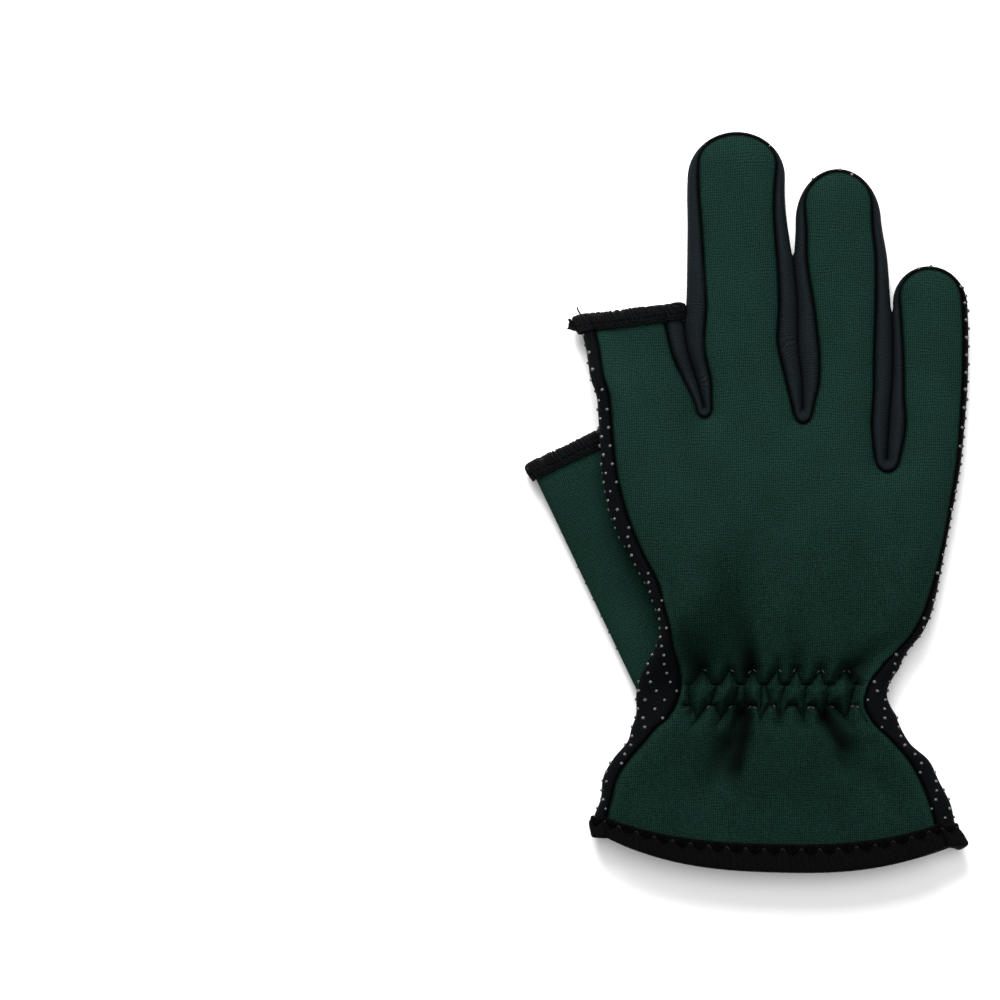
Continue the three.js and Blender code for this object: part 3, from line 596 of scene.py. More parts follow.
    def lift(self, points: Array) -> Array:
        """How high the underside stands over the surface: over the thumb and over the edgings.

        Args:
            points: plan points.

        Returns:
            One height for each.
        """
        root = lerp(self.thumb_base, self.thumb_mouth, self.thumb_lift_start)
        away = across_segments(points, root[None], self.thumb_mouth[None])[0][:, 0] - self.thumb_width / 2
        rise = self.thumb_height + 2 * self.binding_stand + self.thumb_clearance
        over_thumb = rise * smooth(1 - away / self.lift_run)
        stand = self.binding_stand + self.seam_gap
        bow = self.hem_bow * (2 * np.abs(points[:, 0]) / self.cuff_width) ** self.hem_power
        over_hem = stand * smooth(self.hem_hold - (points[:, 1] - bow) / (2 * self.cuff_binding))
        near = np.linalg.norm(points - self.index_mouth, axis=1) - FINGERS[0].width / 2
        over_mouth = stand * smooth(self.mouth_hold - np.maximum(0, near) / (2 * self.mouth_binding))
        return np.maximum(np.maximum(over_thumb, over_hem), over_mouth)

    def thickness(self, points: Array) -> Array:
        """Thickness of the lying glove."""
        return self.heights.at(points[:, 1])


# X above and below of each crease between the two zigzags, and the Y of its lower end.
JOINING_CREASES = (
    (-29.2, -28.4, 50.5), (-20.3, -22.1, 53.4), (-13.1, -14.6, 53.4), (-11.4, -10.6, 52),
    (-5.7, -6.3, 49.5), (-4.7, -2.8, 53.4), (1.7, -0.2, 49.5), (8.5, 7.4, 49.5), (15.7, 14, 49.5),
    (24.2, 21.4, 49.5),
)
# Start, end and depth of the creases that rise from the upper zigzag into the hand.
RISING_CREASES = (
    ((-24.7, 64.8), (-27.5, 69.5), 2.6),
    ((-16.1, 65.2), (-16.9, 70), 2.6),
    ((-0.8, 64.8), (-0.2, 69.6), 3),
    ((-8.8, 65), (-9.9, 75), 3),
    ((5.4, 64.6), (5.9, 74), 2.6),
    ((13, 64.4), (13.9, 69), 2.8),
    ((21.4, 63.8), (28, 68), 2.6),
)
# Broad soft folds of the hand and the cuff.
FOLDS = (
    Fold((-8.6, 65), (-14, 94), (4.6, 0.4), 7, 2.2),
    Fold((6, 66), (8, 86), (2.8, 0.2), 4, 3.2),
    Fold((-26, 66), (-33, 78), (3.6, 0.4), 5, 5),
    Fold((22.5, 64), (37, 76), (3.6, 0.3), 3.5, 6),
    Fold((-10.3, 49), (-15.5, 22), (9, 0.8), 9.5, 2.2),
    Fold((-16, 41), (-29, 18), (4.2, 0.6), 7, 5),
    Fold((14.4, 49), (25.5, 31), (7, 1), 2, 7),
    Fold((21, 36), (40, 19), (3, 0.4), 4, 7),
    Fold((-24, 49), (-40, 26), (1.4, 0), 5, 5),
    Fold((30, 40), (44, 26), (1.2, 0), 5, 5),
    Fold((-26, 60), (24, 60), (2.2, 2.2), 11, 11, dusky=False),
)


@dataclass
class WristGathers:
    """Elastic stitching at the wrist: two zigzag lines of creases and the folds that run from them."""

    upper_peaks: tuple[float, ...] = (-24.7, -16.1, -8.8, -0.8, 5.4, 13, 21.4)
    upper_valleys: tuple[float, ...] = (-29.5, -20.3, -12.3, -5.3, 1.7, 8.5, 15.7, 24.6)
    lower_peaks: tuple[float, ...] = (-29.5, -22.1, -15, -8.8, -2.6, 3.8, 9.9, 16, 24)
    lower_valleys: tuple[float, ...] = (-26.4, -18.8, -12.7, -6.3, -0.2, 7.4, 14, 21.2, 27)
    upper_peak_y: float = 64.8
    upper_valley_y: float = 60
    lower_peak_y: float = 53.4
    lower_valley_y: float = 49
    depth: float = 4.4
    reach: float = 3.9
    bend: float = 1.25
    tail_y: float = 44.5
    tail_spread: float = 1.1

    def crease(
        self, start: tuple[float, float], stop: tuple[float, float], depths: tuple[float, float]
    ) -> Fold:
        """A crease as wide as all the others."""
        return Fold(start, stop, depths, self.reach, self.reach)

    def zigzag(
        self, sharp: Sequence[float], blunt: Sequence[float], point: float, turn: float
    ) -> list[Fold]:
        """Creases that run to and fro along one line of stitching.

        Args:
            sharp: X of the corners that come to a point.
            blunt: X of the corners that are rounded.
            point: Y of the sharp corners.
            turn: Y of the rounded corners.

        Returns:
            One crease for each leg of the zigzag and one across each rounded corner.
        """
        corners = [(x, point) for x in sharp]
        corners += [(x + side * self.bend, turn) for x in blunt for side in (-1, 1)]
        corners.sort()
        full = (self.depth, self.depth)
        return [self.crease(first, second, full) for first, second in zip(corners, corners[1:])]

    def creases(self) -> list[Fold]:
        """Sharp creases with rounded puffs of cloth between them.

        Returns:
            The zigzags, the creases that join them, and those that run on below and above.
        """
        made = self.zigzag(self.upper_peaks, self.upper_valleys, self.upper_peak_y, self.upper_valley_y)
        made += self.zigzag(self.lower_valleys, self.lower_peaks, self.lower_valley_y, self.lower_peak_y)
        for above, below, y in JOINING_CREASES:
            made.append(self.crease((above, self.upper_valley_y), (below, y), (self.depth, self.depth)))
        for x in self.lower_valleys:
            start, stop = (x, self.lower_valley_y), (x * self.tail_spread, self.tail_y)
            made.append(self.crease(start, stop, (self.depth, 0)))
        for start, stop, depth in RISING_CREASES:
            made.append(self.crease(start, stop, (depth, 0)))
        return made


@dataclass
class Skin:
    """Vertices and labelled faces of one layer of the glove."""

    points: list[Array] = field(default_factory=list)
    plain: list[Array] = field(default_factory=list)
    cloth: list[Array] = field(default_factory=list)
    faces: list[Array] = field(default_factory=list)
    labels: list[Array] = field(default_factory=list)
    count: int = 0

    def add(self, points: Array, plain: Array, cloth: Array) -> Array:
        """Adds vertices.

        Args:
            points: places in space.
            plain: heights without creases and seams, which the lining follows.
            cloth: places in the flat cloth, and how much painted shade each point gets from the cloth
                beside it.

        Returns:
            Numbers of the new vertices.
        """
        self.points.append(points)
        self.plain.append(plain)
        self.cloth.append(cloth)
        self.count += len(points)
        return np.arange(self.count - len(points), self.count)

    def add_faces(self, low: Array, high: Array, panel: Union[Panel, Array], flip: bool = False) -> None:
        """Adds the four-sided faces between two rows.

        Args:
            low: vertices of the lower row, left to right as seen from outside.
            high: vertices of the upper row.
            panel: panel of the faces.
            flip: whether the rows run the other way.
        """
        quads = np.stack([low[:-1], low[1:], high[1:], high[:-1]], 1)
        self.faces.append(quads[:, ::-1] if flip else quads)
        value = panel.value if isinstance(panel, Panel) else panel
        self.labels.append(np.full(len(quads), value))

    def close(self) -> "Skin":
        """Joins the lists into arrays and works out the normals.

        Returns:
            The skin itself.
        """
        self.all_points = np.vstack(self.points)
        self.all_cloth = np.vstack(self.cloth)
        self.all_faces = np.vstack(self.faces)
        self.all_labels = np.concatenate(self.labels)
        self.normals = face_normals(self.all_points, self.all_faces)
        flat = self.all_points.copy()
        flat[:, 2] = np.concatenate(self.plain)
        self.plain_normals = face_normals(flat, self.all_faces)
        return self


def face_normals(points: Array, faces: Array) -> Array:
    """Unit normal of each vertex.

    Args:
        points: vertices.
        faces: four-sided faces.

    Returns:
        The mean normal of the faces round each vertex, weighed by area.
    """
    corners = points[faces]
    normal = np.cross(corners[:, 2] - corners[:, 0], corners[:, 3] - corners[:, 1])
    total = np.zeros_like(points)
    for corner in range(4):
        np.add.at(total, faces[:, corner], normal)
    return unit(total)


@dataclass
class HandSkin:
    """The skin round the palm and the four fingers, in dense rows and columns."""

    plan: HandPlan
    gathers: WristGathers
    cuff_rows: int = 48
    band_rows: int = 36
    hand_rows: int = 92
    rise_steps: int = 10
    fall_steps: int = 6
    dome_reach: float = 9
    side_share: float = 0.42
    seam_share: float = 0.8
    under_share: float = 0.015
    roll: float = 1.1
    palm_roll: float = 0.35
    roll_power: float = 0.8
    palm_thin: float = 0.5
    bow_start: float = 2.45
    bow_run: float = 0.55
    groove: float = 1.0
    groove_reach: float = 1.5
    # Painted shade: shadow is how wide it runs along seams and creases, the next four set it in deep folds,
    # and the last three darken the back towards the cuff.
    shadow: float = 0.8
    dusk: float = 0.96
    deepest: float = 4.2
    dusk_power: float = 1.5
    valley_power: float = 1.2
    low_shade: float = 0.3
    shade_from: float = 130
    shade_run: float = 60
    skin: Skin = field(default_factory=Skin)

    def build(self) -> "HandSkin":
        """Lays out the stops, the side strips and the two sheets.

        Returns:
            The skin of the hand itself, with its rows of vertices.
        """
        plan = self.plan
        stations = np.concatenate([
            np.linspace(0, 1, self.cuff_rows, endpoint=False),
            np.linspace(1, 2, self.band_rows, endpoint=False),
            np.linspace(2, 3, self.hand_rows),
        ])
        self.stations = stations
        self.sides = {side: plan.side_stops(side, stations) for side in Side}
        self.rings = [plan.slot_stops(slot) for slot in SLOTS]
        self.lefts, self.rights, self.tips = [], [], []
        for number, finger in enumerate(FINGERS):
            left = plan.finger_stops(finger, -1, SLOTS[number - 1].panel if number else Panel.PALM)
            right = plan.finger_stops(finger, 1, SLOTS[number].panel if number < 3 else Panel.PALM)
            below = self.ends(number)
            plan.settle(finger, left, below[0], -1)
            plan.settle(finger, right, below[1], 1)
            self.lefts.append(left)
            self.rights.append(right)
            self.tips.append(plan.tip_stop(finger) if finger.cap else None)
        for number, ring in enumerate(self.rings):
            self.part_fingers(number, ring)
        sides = [*self.sides.values(), *self.rings, *self.lefts, *self.rights]
        for stops in [*sides, *filter(None, self.tips)]:
            self.lay_strip(stops)
        self.join_strips()
        self.fold_lines = [(fold, False) for fold in FOLDS]
        self.fold_lines += [(fold, True) for fold in self.gathers.creases()]
        self.mouths: list[dict[str, list[Array]]] = [{"seam": [], "under": []} for _ in FINGERS]
        self.back_rows = self.sheet("seam", 0, 1.0, Panel.BACK)
        self.palm_rows = self.sheet("under", -1, self.palm_thin, Panel.PALM)
        self.skin.close()
        return self

    def ends(self, number: int) -> tuple[tuple[Array, ...], tuple[Array, ...]]:
        """Points below a finger's two sides.

        Args:
            number: which finger, from the thumb side.

        Returns:
            Edge, seam and under point on the thumb side, and the same on the little side.
        """
        left = self.rings[number - 1] if number else self.sides[Side.THUMB]
        right = self.rings[number] if number < 3 else self.sides[Side.LITTLE]
        place = 0 if number < 3 else -1
        return (
            (left.edge[-1], left.seam[-1], left.under[-1]),
            (right.edge[place], right.seam[place], right.under[place]),
        )

    def part_fingers(self, number: int, ring: Stops) -> None:
        """Keeps the two fingers over a slot apart, with the ends of the slot itself.

        Args:
            number: which slot, from the thumb side.
            ring: its stops.
        """
        chains = []
        for stops, place in ((self.rights[number], 0), (self.lefts[number + 1], -1)):
            edge = np.vstack([ring.edge[place], stops.edge])
            chains.append(Stops(edge, edge, edge, []))
        self.plan.keep_apart(*chains)
        self.rights[number].edge = chains[0].edge[1:]
        self.lefts[number + 1].edge = chains[1].edge[1:]

    def lay_strip(self, stops: Stops) -> None:
        """Adds the vertices of the side from the seam on the back to the seam underneath.

        Args:
            stops: the stops along that side.
        """
        plan = self.plan
        angles = np.concatenate([
            np.linspace(math.pi / 2, 0, self.rise_steps + 1),
            np.linspace(0, -math.pi / 2, self.fall_steps + 1)[1:],
        ])
        foot, height = plan.lift(stops.edge), plan.thickness(stops.edge)
        target = np.where((angles > 0)[None, :, None], stops.seam[:, None], stops.under[:, None])
        spot = lerp(stops.edge[:, None], target, (1 - np.cos(angles))[None, :, None])
        over, below = self.seam_share - self.side_share, self.side_share - self.under_share
        reach = np.where(angles > 0, over, below)
        plain = foot[:, None] + height[:, None] * (self.side_share + reach * np.sin(angles))[None]
        down = clamp(1 - angles / (math.pi / 2))
        show = np.linalg.norm(stops.seam - stops.edge, axis=1)[:, None]
        soft = np.array([panel is not Panel.PALM for panel in stops.panels])[:, None]
        fullness = self.roll * np.where(soft, 1, self.palm_roll) * clamp(show / plan.fourchette_show)
        pinch = self.groove * clamp(1 - down * show / self.groove_reach) ** 2
        rise = plain + fullness * np.sin(math.pi * clamp(down)) ** self.roll_power - pinch
        points = np.concatenate([spot, rise[:, :, None]], 2)
        smoothed = np.concatenate([spot, plain[:, :, None]], 2)
        steps = np.linalg.norm(np.diff(smoothed[:, ::-1], axis=1), axis=2)
        run = np.concatenate([np.zeros((len(steps), 1)), np.cumsum(steps, 1)], 1)[:, ::-1]
        outward = unit(stops.edge - stops.under)
        cloth = stops.under[:, None] + outward[:, None] * run[:, :, None]
        # Painted shade along the seam groove at the top of the side strip, over a width of shadow.
        painted_shade = np.broadcast_to(clamp(1 - down * show / self.shadow), plain.shape)
        flat = points.reshape(-1, 3)
        cloth = np.concatenate([cloth, painted_shade[:, :, None]], 2).reshape(-1, 3)
        ids = self.skin.add(flat, plain.reshape(-1), cloth)
        stops.ids = ids.reshape(points.shape[:2])

    def join_strips(self) -> None:
        """Adds the faces of the side strips and notes the seam outline."""
        chains: list[list[Stops]] = [[self.sides[Side.THUMB], self.lefts[0]]]
        for number in range(3):
            if self.tips[number]:
                chains[-1].append(self.tips[number])
            else:
                chains.append([])
            chains[-1] += [self.rights[number].backwards(), self.rings[number], self.lefts[number + 1]]
        chains[-1] += [self.tips[3], self.rights[3].backwards(), self.sides[Side.LITTLE].backwards()]
        spans = []
        for chain in chains:
            ids = np.vstack([stops.ids for stops in chain])
            panels = sum((stops.panels for stops in chain), [])
            seam = np.vstack([stops.seam for stops in chain])
            spans.append((seam[:-1], seam[1:]))
            shown = [after if before is Panel.PALM else before for before, after in zip(panels, panels[1:])]
            labels = np.array([panel.value for panel in shown])
            for step in range(ids.shape[1] - 1):
                self.skin.add_faces(ids[::-1, step + 1], ids[::-1, step], labels[::-1])
        self.seam_from = np.vstack([first for first, _ in spans])
        self.seam_to = np.vstack([second for _, second in spans])

    def back_height(self, points: Array) -> tuple[Array, Array, Array]:
        """Height of the back over its underside.

        Args:
            points: plan points.

        Returns:
            The height with creases and seams, the height without them, and how much painted shade each
            point gets.
        """
        near = across_segments(points, self.seam_from, self.seam_to)[0].min(1)
        dome = 1 - (1 - clamp(near / self.dome_reach)) ** 2
        plain = self.plan.thickness(points) * (self.seam_share + (1 - self.seam_share) * dome)
        inside = smooth(near / self.plan.side_show)
        sharp = np.zeros(len(points))
        # Painted shade that grows towards the cuff, standing in for the light falling off there.
        painted_shade = self.low_shade * smooth((self.shade_from - points[:, 1]) / self.shade_run)
        for fold, creased in self.fold_lines:
            gap, share = across_segments(points, np.array([fold.start]), np.array([fold.stop]))
            depth = lerp(fold.depths[0], fold.depths[1], share[:, 0])
            if creased:
                part = clamp(gap[:, 0] / fold.reach)
                sharp = np.maximum(sharp, depth * (1 - part) ** 2)
                # Painted shade along each crease of the gathers, strongest at the deepest creases.
                line = depth / self.gathers.depth * clamp(1 - gap[:, 0] / self.shadow)
                painted_shade = np.maximum(painted_shade, line)
            else:
                valley = np.exp(-((gap[:, 0] / fold.width(points, gap[:, 0], share[:, 0])) ** 2))
                plain = plain - inside * depth * valley
                if fold.dusky:
                    # Painted shade in the valleys of deep folds, standing in for the shade that falls
                    # there.
                    dusk = self.dusk * clamp(depth / self.deepest) ** self.dusk_power
                    painted_shade = np.maximum(painted_shade, dusk * valley**self.valley_power)
        pinch = clamp(1 - near / self.groove_reach) ** 2
        # Painted shade along the seams; the fold and crease shade fades out at them.
        painted_shade = np.maximum(painted_shade * inside, clamp(1 - near / self.shadow))
        return plain - inside * sharp - self.groove * pinch, plain, painted_shade

    def place(self, points: Array, key: str) -> Array:
        """Adds sheet vertices at plan points.

        Args:
            points: plan points.
            key: "seam" for the back and "under" for the palm.

        Returns:
            Numbers of the new vertices.
        """
        foot = self.plan.lift(points)
        full = plain = painted_shade = np.zeros(len(points))
        if key == "seam":
            full, plain, painted_shade = self.back_height(points)
        spots, cloth = np.column_stack([points, foot + full]), np.column_stack([points, painted_shade])
        return self.skin.add(spots, foot + plain, cloth)

    def base_columns(self, key: str, thin: float) -> tuple[Array, Array, Array]:
        """Columns across the hand at the foot of the fingers.

        Args:
            key: which outline the columns end at.
            thin: share of the fingers' columns that is kept.

        Returns:
            Points of the columns, their shares of the width and how far each bows from a straight row.
        """
        made: list[Array] = []
        for number, finger in enumerate(FINGERS):
            count = max(2, round(finger.columns * thin))
            left, right = self.span_ends(number, key)
            points = lerp(left[None], right[None], np.linspace(0, 1, count + 1)[:, None])
            made.append(points if number == 0 else points[1:])
            if number < 3:
                made.append(getattr(self.rings[number], key)[1:])
        points = np.vstack(made)
        first, last = points[0], points[-1]
        share = (points[:, 0] - first[0]) / (last[0] - first[0])
        return points, share, points[:, 1] - lerp(first[1], last[1], share)

    def span_ends(self, number: int, key: str) -> tuple[Array, Array]:
        """Points below a finger's two sides on one outline.

        Args:
            number: which finger, from the thumb side.
            key: "seam" for the back and "under" for the palm.

        Returns:
            The point on the thumb side and the one on the little side.
        """
        place = {"seam": 1, "under": 2}[key]
        left, right = self.ends(number)
        return left[place], right[place]

    def sheet(self, key: str, end: int, thin: float, panel: Panel) -> list[Array]:
        """Adds a sheet between the seams.

        Args:
            key: "seam" for the back and "under" for the palm.
            end: which end of the side strips the sheet joins.
            thin: share of the fingers' columns that is kept.
            panel: panel of the sheet.

        Returns:
            The vertices of each row of the hand.
        """
        flip = key == "under"
        _, share, bow = self.base_columns(key, thin)
        sides = self.sides[Side.THUMB], self.sides[Side.LITTLE]
        left, right = (getattr(stops, key) for stops in sides)
        rows = []
        for row, station in enumerate(self.stations[:-1]):
            spot = lerp(left[row][None], right[row][None], share[:, None])
            spot[:, 1] += bow * smooth((station - self.bow_start) / self.bow_run)
            hem = 1 - np.abs(2 * share - 1) ** self.plan.hem_power
            spot[:, 1] -= self.plan.hem_sag * hem * (1 - clamp(station)) ** self.plan.hem_fade
            inner = self.place(spot[1:-1], key)
            rows.append(np.concatenate([[sides[0].ids[row, end]], inner, [sides[1].ids[row, end]]]))
        base = np.zeros(len(share), int)
        at = 0
        for number, finger in enumerate(FINGERS):
            count = max(2, round(finger.columns * thin))
            shares = np.linspace(0, 1, count + 1)[1:-1, None]
            ends = self.span_ends(number, key)
            left_id = (self.rings[number - 1] if number else sides[0]).ids[-1, end]
            right_id = self.rings[number].ids[0, end] if number < 3 else sides[1].ids[-1, end]
            inner = self.place(lerp(ends[0][None], ends[1][None], shares), key)
            low = np.concatenate([[left_id], inner, [right_id]])
            base[at:at + count + 1] = low
            at += count
            tracks = self.lefts[number], self.rights[number]
            for row in range(len(tracks[0].edge)):
                first, last = (getattr(track, key)[row][None] for track in tracks)
                inner = self.place(lerp(first, last, shares), key)
                high = np.concatenate([[tracks[0].ids[row, end]], inner, [tracks[1].ids[row, end]]])
                self.skin.add_faces(low, high, panel, flip)
                self.mouths[number][key].append(high)
                low = high
            if self.tips[number]:
                self.skin.add_faces(low, np.full(len(low), self.tips[number].ids[0, end]), panel, flip)
            if number < 3:
                ring = self.rings[number].ids[:, end]
                base[at:at + len(ring)] = ring
                at += len(ring) - 1
        rows.append(base)
        for low, high in zip(rows, rows[1:]):
            self.skin.add_faces(low, high, panel, flip)
        return rows

    def hem_loops(self, height: float) -> Array:
        """Closed rows of vertices from the hem up, clockwise as seen from the open end.

        Args:
            height: how far up the rows go.

        Returns:
            One row of vertices for each station.
        """
        keep = int(np.searchsorted(self.stations, height / self.plan.cuff_depth)) + 2
        little, thumb = self.sides[Side.LITTLE].ids, self.sides[Side.THUMB].ids
        loops = []
        for row in range(keep):
            back, palm = self.back_rows[row], self.palm_rows[row][::-1]
            loops.append(np.concatenate([back, little[row, 1:-1], palm, thumb[row, -2:0:-1]]))
        return np.array(loops)

    def index_loops(self, height: float) -> Array:
        """Closed rows of vertices from the index finger's mouth down.

        Args:
            height: how far down the rows go.

        Returns:
            One row of vertices for each step.
        """
        keep = round(height / self.plan.row_step) + 2
        rights, lefts = self.rights[0].ids, self.lefts[0].ids
        seam, under = self.mouths[0]["seam"], self.mouths[0]["under"]
        return np.array([
            np.concatenate([seam[-row], rights[-row, 1:-1], under[-row][::-1], lefts[-row, -2:0:-1]])
            for row in range(1, keep + 1)
        ])

    def surface(self, points: Array) -> Array:
        """Points in space on the back of the glove over plan points."""
        return np.column_stack([points, self.plan.lift(points) + self.back_height(points)[0]])


@dataclass
class ThumbSkin:
    """The skin of the thumb, a flat tube whose back and grip cloth meet along its two sides."""

    plan: HandPlan
    rows: int = 84
    around: int = 96
    breadth_power: float = 0.7
    height_power: float = 0.5
    ramp_start: float = 0.7
    ramp_run: float = 0.2
    sag: float = 0.9
    sag_lead: float = 0.12
    skin: Skin = field(default_factory=Skin)

    def build(self) -> "ThumbSkin":
        """Lays out the rings of the tube.

        Returns:
            The skin of the thumb itself, with its rows of vertices.
        """
        plan = self.plan
        turn = np.arange(self.around + 1) / self.around * 2 * math.pi
        wave, lift = np.cos(turn), np.sin(turn)
        across = plan.thumb_width / 2 * np.sign(wave) * np.abs(wave) ** self.breadth_power
        rise = np.sign(lift) * np.abs(lift) ** self.height_power
        hollow = self.sag * np.where(lift > 0, smooth(lift), 0)
        made = []
        for at in np.linspace(0, 1, self.rows + 1):
            middle = lerp(plan.thumb_base, plan.thumb_mouth, at)
            foot = plan.binding_stand * smooth((at - self.ramp_start) / self.ramp_run)
            depth = math.sin(math.pi * min(1, at + self.sag_lead)) ** 2
            spot = middle + across[:, None] * plan.thumb_across
            height = foot + plan.thumb_height / 2 * (1 + rise)
            points = np.column_stack([spot, height - hollow * depth])
            run = run_along(points)
            cloth = np.stack([run, np.full(len(run), at * plan.thumb_length), np.zeros(len(run))], 1)
            made.append(self.skin.add(points[:-1], height[:-1], cloth[:-1]))
        self.loops = np.array(made)
        half = self.around // 2
        labels = np.where(np.arange(self.around) < half, Panel.BACK.value, Panel.GRIP.value)
        for low, high in zip(made, made[1:]):
            low, high = np.append(low, low[0]), np.append(high, high[0])
            self.skin.add_faces(high, low, labels)
        self.skin.close()
        return self


class Material:
    """A node material and the small tools that wire it."""

    def __init__(self, name: str) -> None:
        """Starts a material with a shader and an output.

        Args:
            name: the material's name.
        """
        self.data = bpy.data.materials.new(name)
        self.data.use_nodes = True
        self.tree = self.data.node_tree
        self.shader = self.tree.nodes["Principled BSDF"]

    def node(self, kind: str, **inputs: object) -> bpy.types.Node:
        """Adds a node.

        Args:
            kind: Blender's name of the node.
            inputs: values, or outputs of other nodes, by the name of the socket; others are settings.

        Returns:
            The new node.
        """
        made = self.tree.nodes.new(kind)
        for key, value in inputs.items():
            if hasattr(made, key) and key not in made.inputs:
                setattr(made, key, value)
                continue
            socket = made.inputs[int(key[1:])] if key[0] == "i" and key[1:].isdigit() else made.inputs[key]
            if isinstance(value, bpy.types.NodeSocket):
                self.tree.links.new(value, socket)
            else:
                socket.default_value = value
        return made

    def sums(self, operation: str, *values: object) -> bpy.types.NodeSocket:
        """Result of a math node."""
        inputs = {f"i{place}": value for place, value in enumerate(values)}
        return self.node("ShaderNodeMath", operation=operation, **inputs).outputs[0]

    def cloth(self) -> tuple[bpy.types.NodeSocket, bpy.types.NodeSocket, bpy.types.NodeSocket]:
        """The place in the flat cloth, in millimetres.

        Returns:
            The vector and its two parts.
        """
        vector = self.node("ShaderNodeAttribute", attribute_name="cloth").outputs["Vector"]
        parts = self.node("ShaderNodeSeparateXYZ", Vector=vector)
        return vector, parts.outputs[0], parts.outputs[1]

    def shut_in(self, colour: bpy.types.NodeSocket, painted_shade: Sequence[float]) -> bpy.types.NodeSocket:
        """A cloth's colour with painted shade mixed in where folds, creases and seams would shade it.

        Args:
            colour: the cloth's colour in the open.
            painted_shade: the colour where the painted shade is full.

        Returns:
            The colour between the two.
        """
        vector = self.node("ShaderNodeAttribute", attribute_name="cloth").outputs["Vector"]
        parts = self.node("ShaderNodeSeparateXYZ", Vector=vector)
        made = self.node("ShaderNodeMix", data_type="RGBA", clamp_factor=True)
        self.tree.links.new(parts.outputs[2], made.inputs[0])
        self.tree.links.new(colour, made.inputs[6])
        made.inputs[7].default_value = (*painted_shade, 1)
        return made.outputs[2]

    def noise(self, size: float, detail: float, vector: bpy.types.NodeSocket) -> bpy.types.NodeSocket:
        """Noise with lumps of a size in millimetres, from 0 to 1."""
        made = self.node("ShaderNodeTexNoise", Vector=vector, Scale=1 / size, Detail=detail)
        return made.outputs[0]

    def wave(self, place: bpy.types.NodeSocket, pitch: float) -> bpy.types.NodeSocket:
        """A wave from 0 to 1 with a pitch in millimetres."""
        turn = self.sums("MULTIPLY", place, 2 * math.pi / pitch)
        return self.sums("MULTIPLY_ADD", self.sums("COSINE", turn), 0.5, 0.5)

    def ramp(
        self, value: bpy.types.NodeSocket, low: Sequence[float], high: Sequence[float]
    ) -> bpy.types.NodeSocket:
        """Colour between two colours.

        Args:
            value: 0 for the first colour and 1 for the second.
            low: the first colour.
            high: the second colour.

        Returns:
            The mixed colour.
        """
        made = self.node("ShaderNodeMix", data_type="RGBA", clamp_factor=True)
        self.tree.links.new(value, made.inputs[0])
        made.inputs[6].default_value = (*low, 1)
        made.inputs[7].default_value = (*high, 1)
        return made.outputs[2]

    def bump(self, height: bpy.types.NodeSocket, depth: float, strength: float = 1) -> None:
        """Drives the shader's normal with a height of a depth in millimetres."""
        made = self.node("ShaderNodeBump", Height=height, Distance=depth * MILLIMETRE, Strength=strength)
        self.tree.links.new(made.outputs[0], self.shader.inputs["Normal"])

    def set(self, **values: object) -> None:
        """Sets or links the shader's own sockets.

        Args:
            values: values, or outputs of nodes, by the name of the socket with _ for each space.
        """
        for key, value in values.items():
            socket = self.shader.inputs[key.replace("_", " ")]
            if isinstance(value, bpy.types.NodeSocket):
                self.tree.links.new(value, socket)
            else:
                socket.default_value = value


def shade(colour: Sequence[float], factor: float) -> tuple[float, ...]:
    """A colour made darker or lighter."""
    return tuple(min(1.0, part * factor) for part in colour)


@dataclass(frozen=True)
class Finish:
    """A finish: its name, its colour and how it shines."""

    name: str
    colour: tuple[float, float, float]
    rough: float = 0.9
    gloss: float = 0.1

    def make(self) -> Material:
        """Wires the material in an even colour.

        Returns:
            The finished material.
        """
        made = Material(self.name)
        made.set(Base_Color=(*self.colour, 1), Roughness=self.rough, Specular_IOR_Level=self.gloss)
        return made


@dataclass(frozen=True)
class KnitFinish(Finish):
    """Foam rubber faced with a fine knit of wales and courses.

    Wale and course are pitches, and their shares say how much each tells in the relief. The rows drift
    sideways by bend and lengthwise by sway, over lumps of drift_size.
    """

    wale: float = 0.66
    course: float = 0.84
    wale_share: float = 0.45
    course_share: float = 0.35
    slope: float = 0.9
    drift_size: float = 12
    bend: float = 2.4
    sway: float = 3.5
    grain: float = 0.55
    grain_share: float = 1.3
    level: float = 1.05
    depth: float = 0.12
    contrast: float = 1.3
    mottle: float = 0.17
    mottle_size: float = 14
    # shades: factors of the colour for the painted crease shade, the painted shade in the knit's hollows
    # and the painted light on its loops.
    shades: tuple[float, float, float] = (0.06, 0.3, 1.8)
    rough: float = 0.9
    gloss: float = 0.025

    def make(self) -> Material:
        """Wires the material.

        Returns:
            The finished material.
        """
        made = super().make()
        vector, u, v = made.cloth()
        drift = made.noise(self.drift_size, 3, vector)
        bent_u = made.sums("MULTIPLY_ADD", drift, self.bend, u)
        wale = made.wave(bent_u, self.wale)
        slant = made.sums("PINGPONG", bent_u, self.wale / 2)
        chevron = made.sums("MULTIPLY_ADD", slant, self.slope, v)
        course = made.wave(made.sums("MULTIPLY_ADD", drift, self.sway, chevron), self.course)
        courses = made.sums("MULTIPLY", course, self.course_share)
        loops = made.sums("MULTIPLY_ADD", wale, self.wale_share, courses)
        grain = made.noise(self.grain, 3, vector)
        relief = made.sums("MULTIPLY_ADD", grain, self.grain_share, loops)
        patches = made.noise(self.mottle_size, 3, vector)
        lumps = made.sums("MULTIPLY_ADD", patches, 2 * self.mottle, 0.5 - self.mottle)
        # Tone follows the knit's relief, so its hollows get painted shade and its loops painted light, with
        # random mottle patches over it.
        tone = made.sums("MULTIPLY_ADD", made.sums("SUBTRACT", relief, self.level), self.contrast, lumps)
        crease_shade_colour, low, high = (shade(self.colour, factor) for factor in self.shades)
        colour = made.shut_in(made.ramp(tone, low, high), crease_shade_colour)
        made.set(Base_Color=colour)
        made.bump(relief, self.depth)
        return made


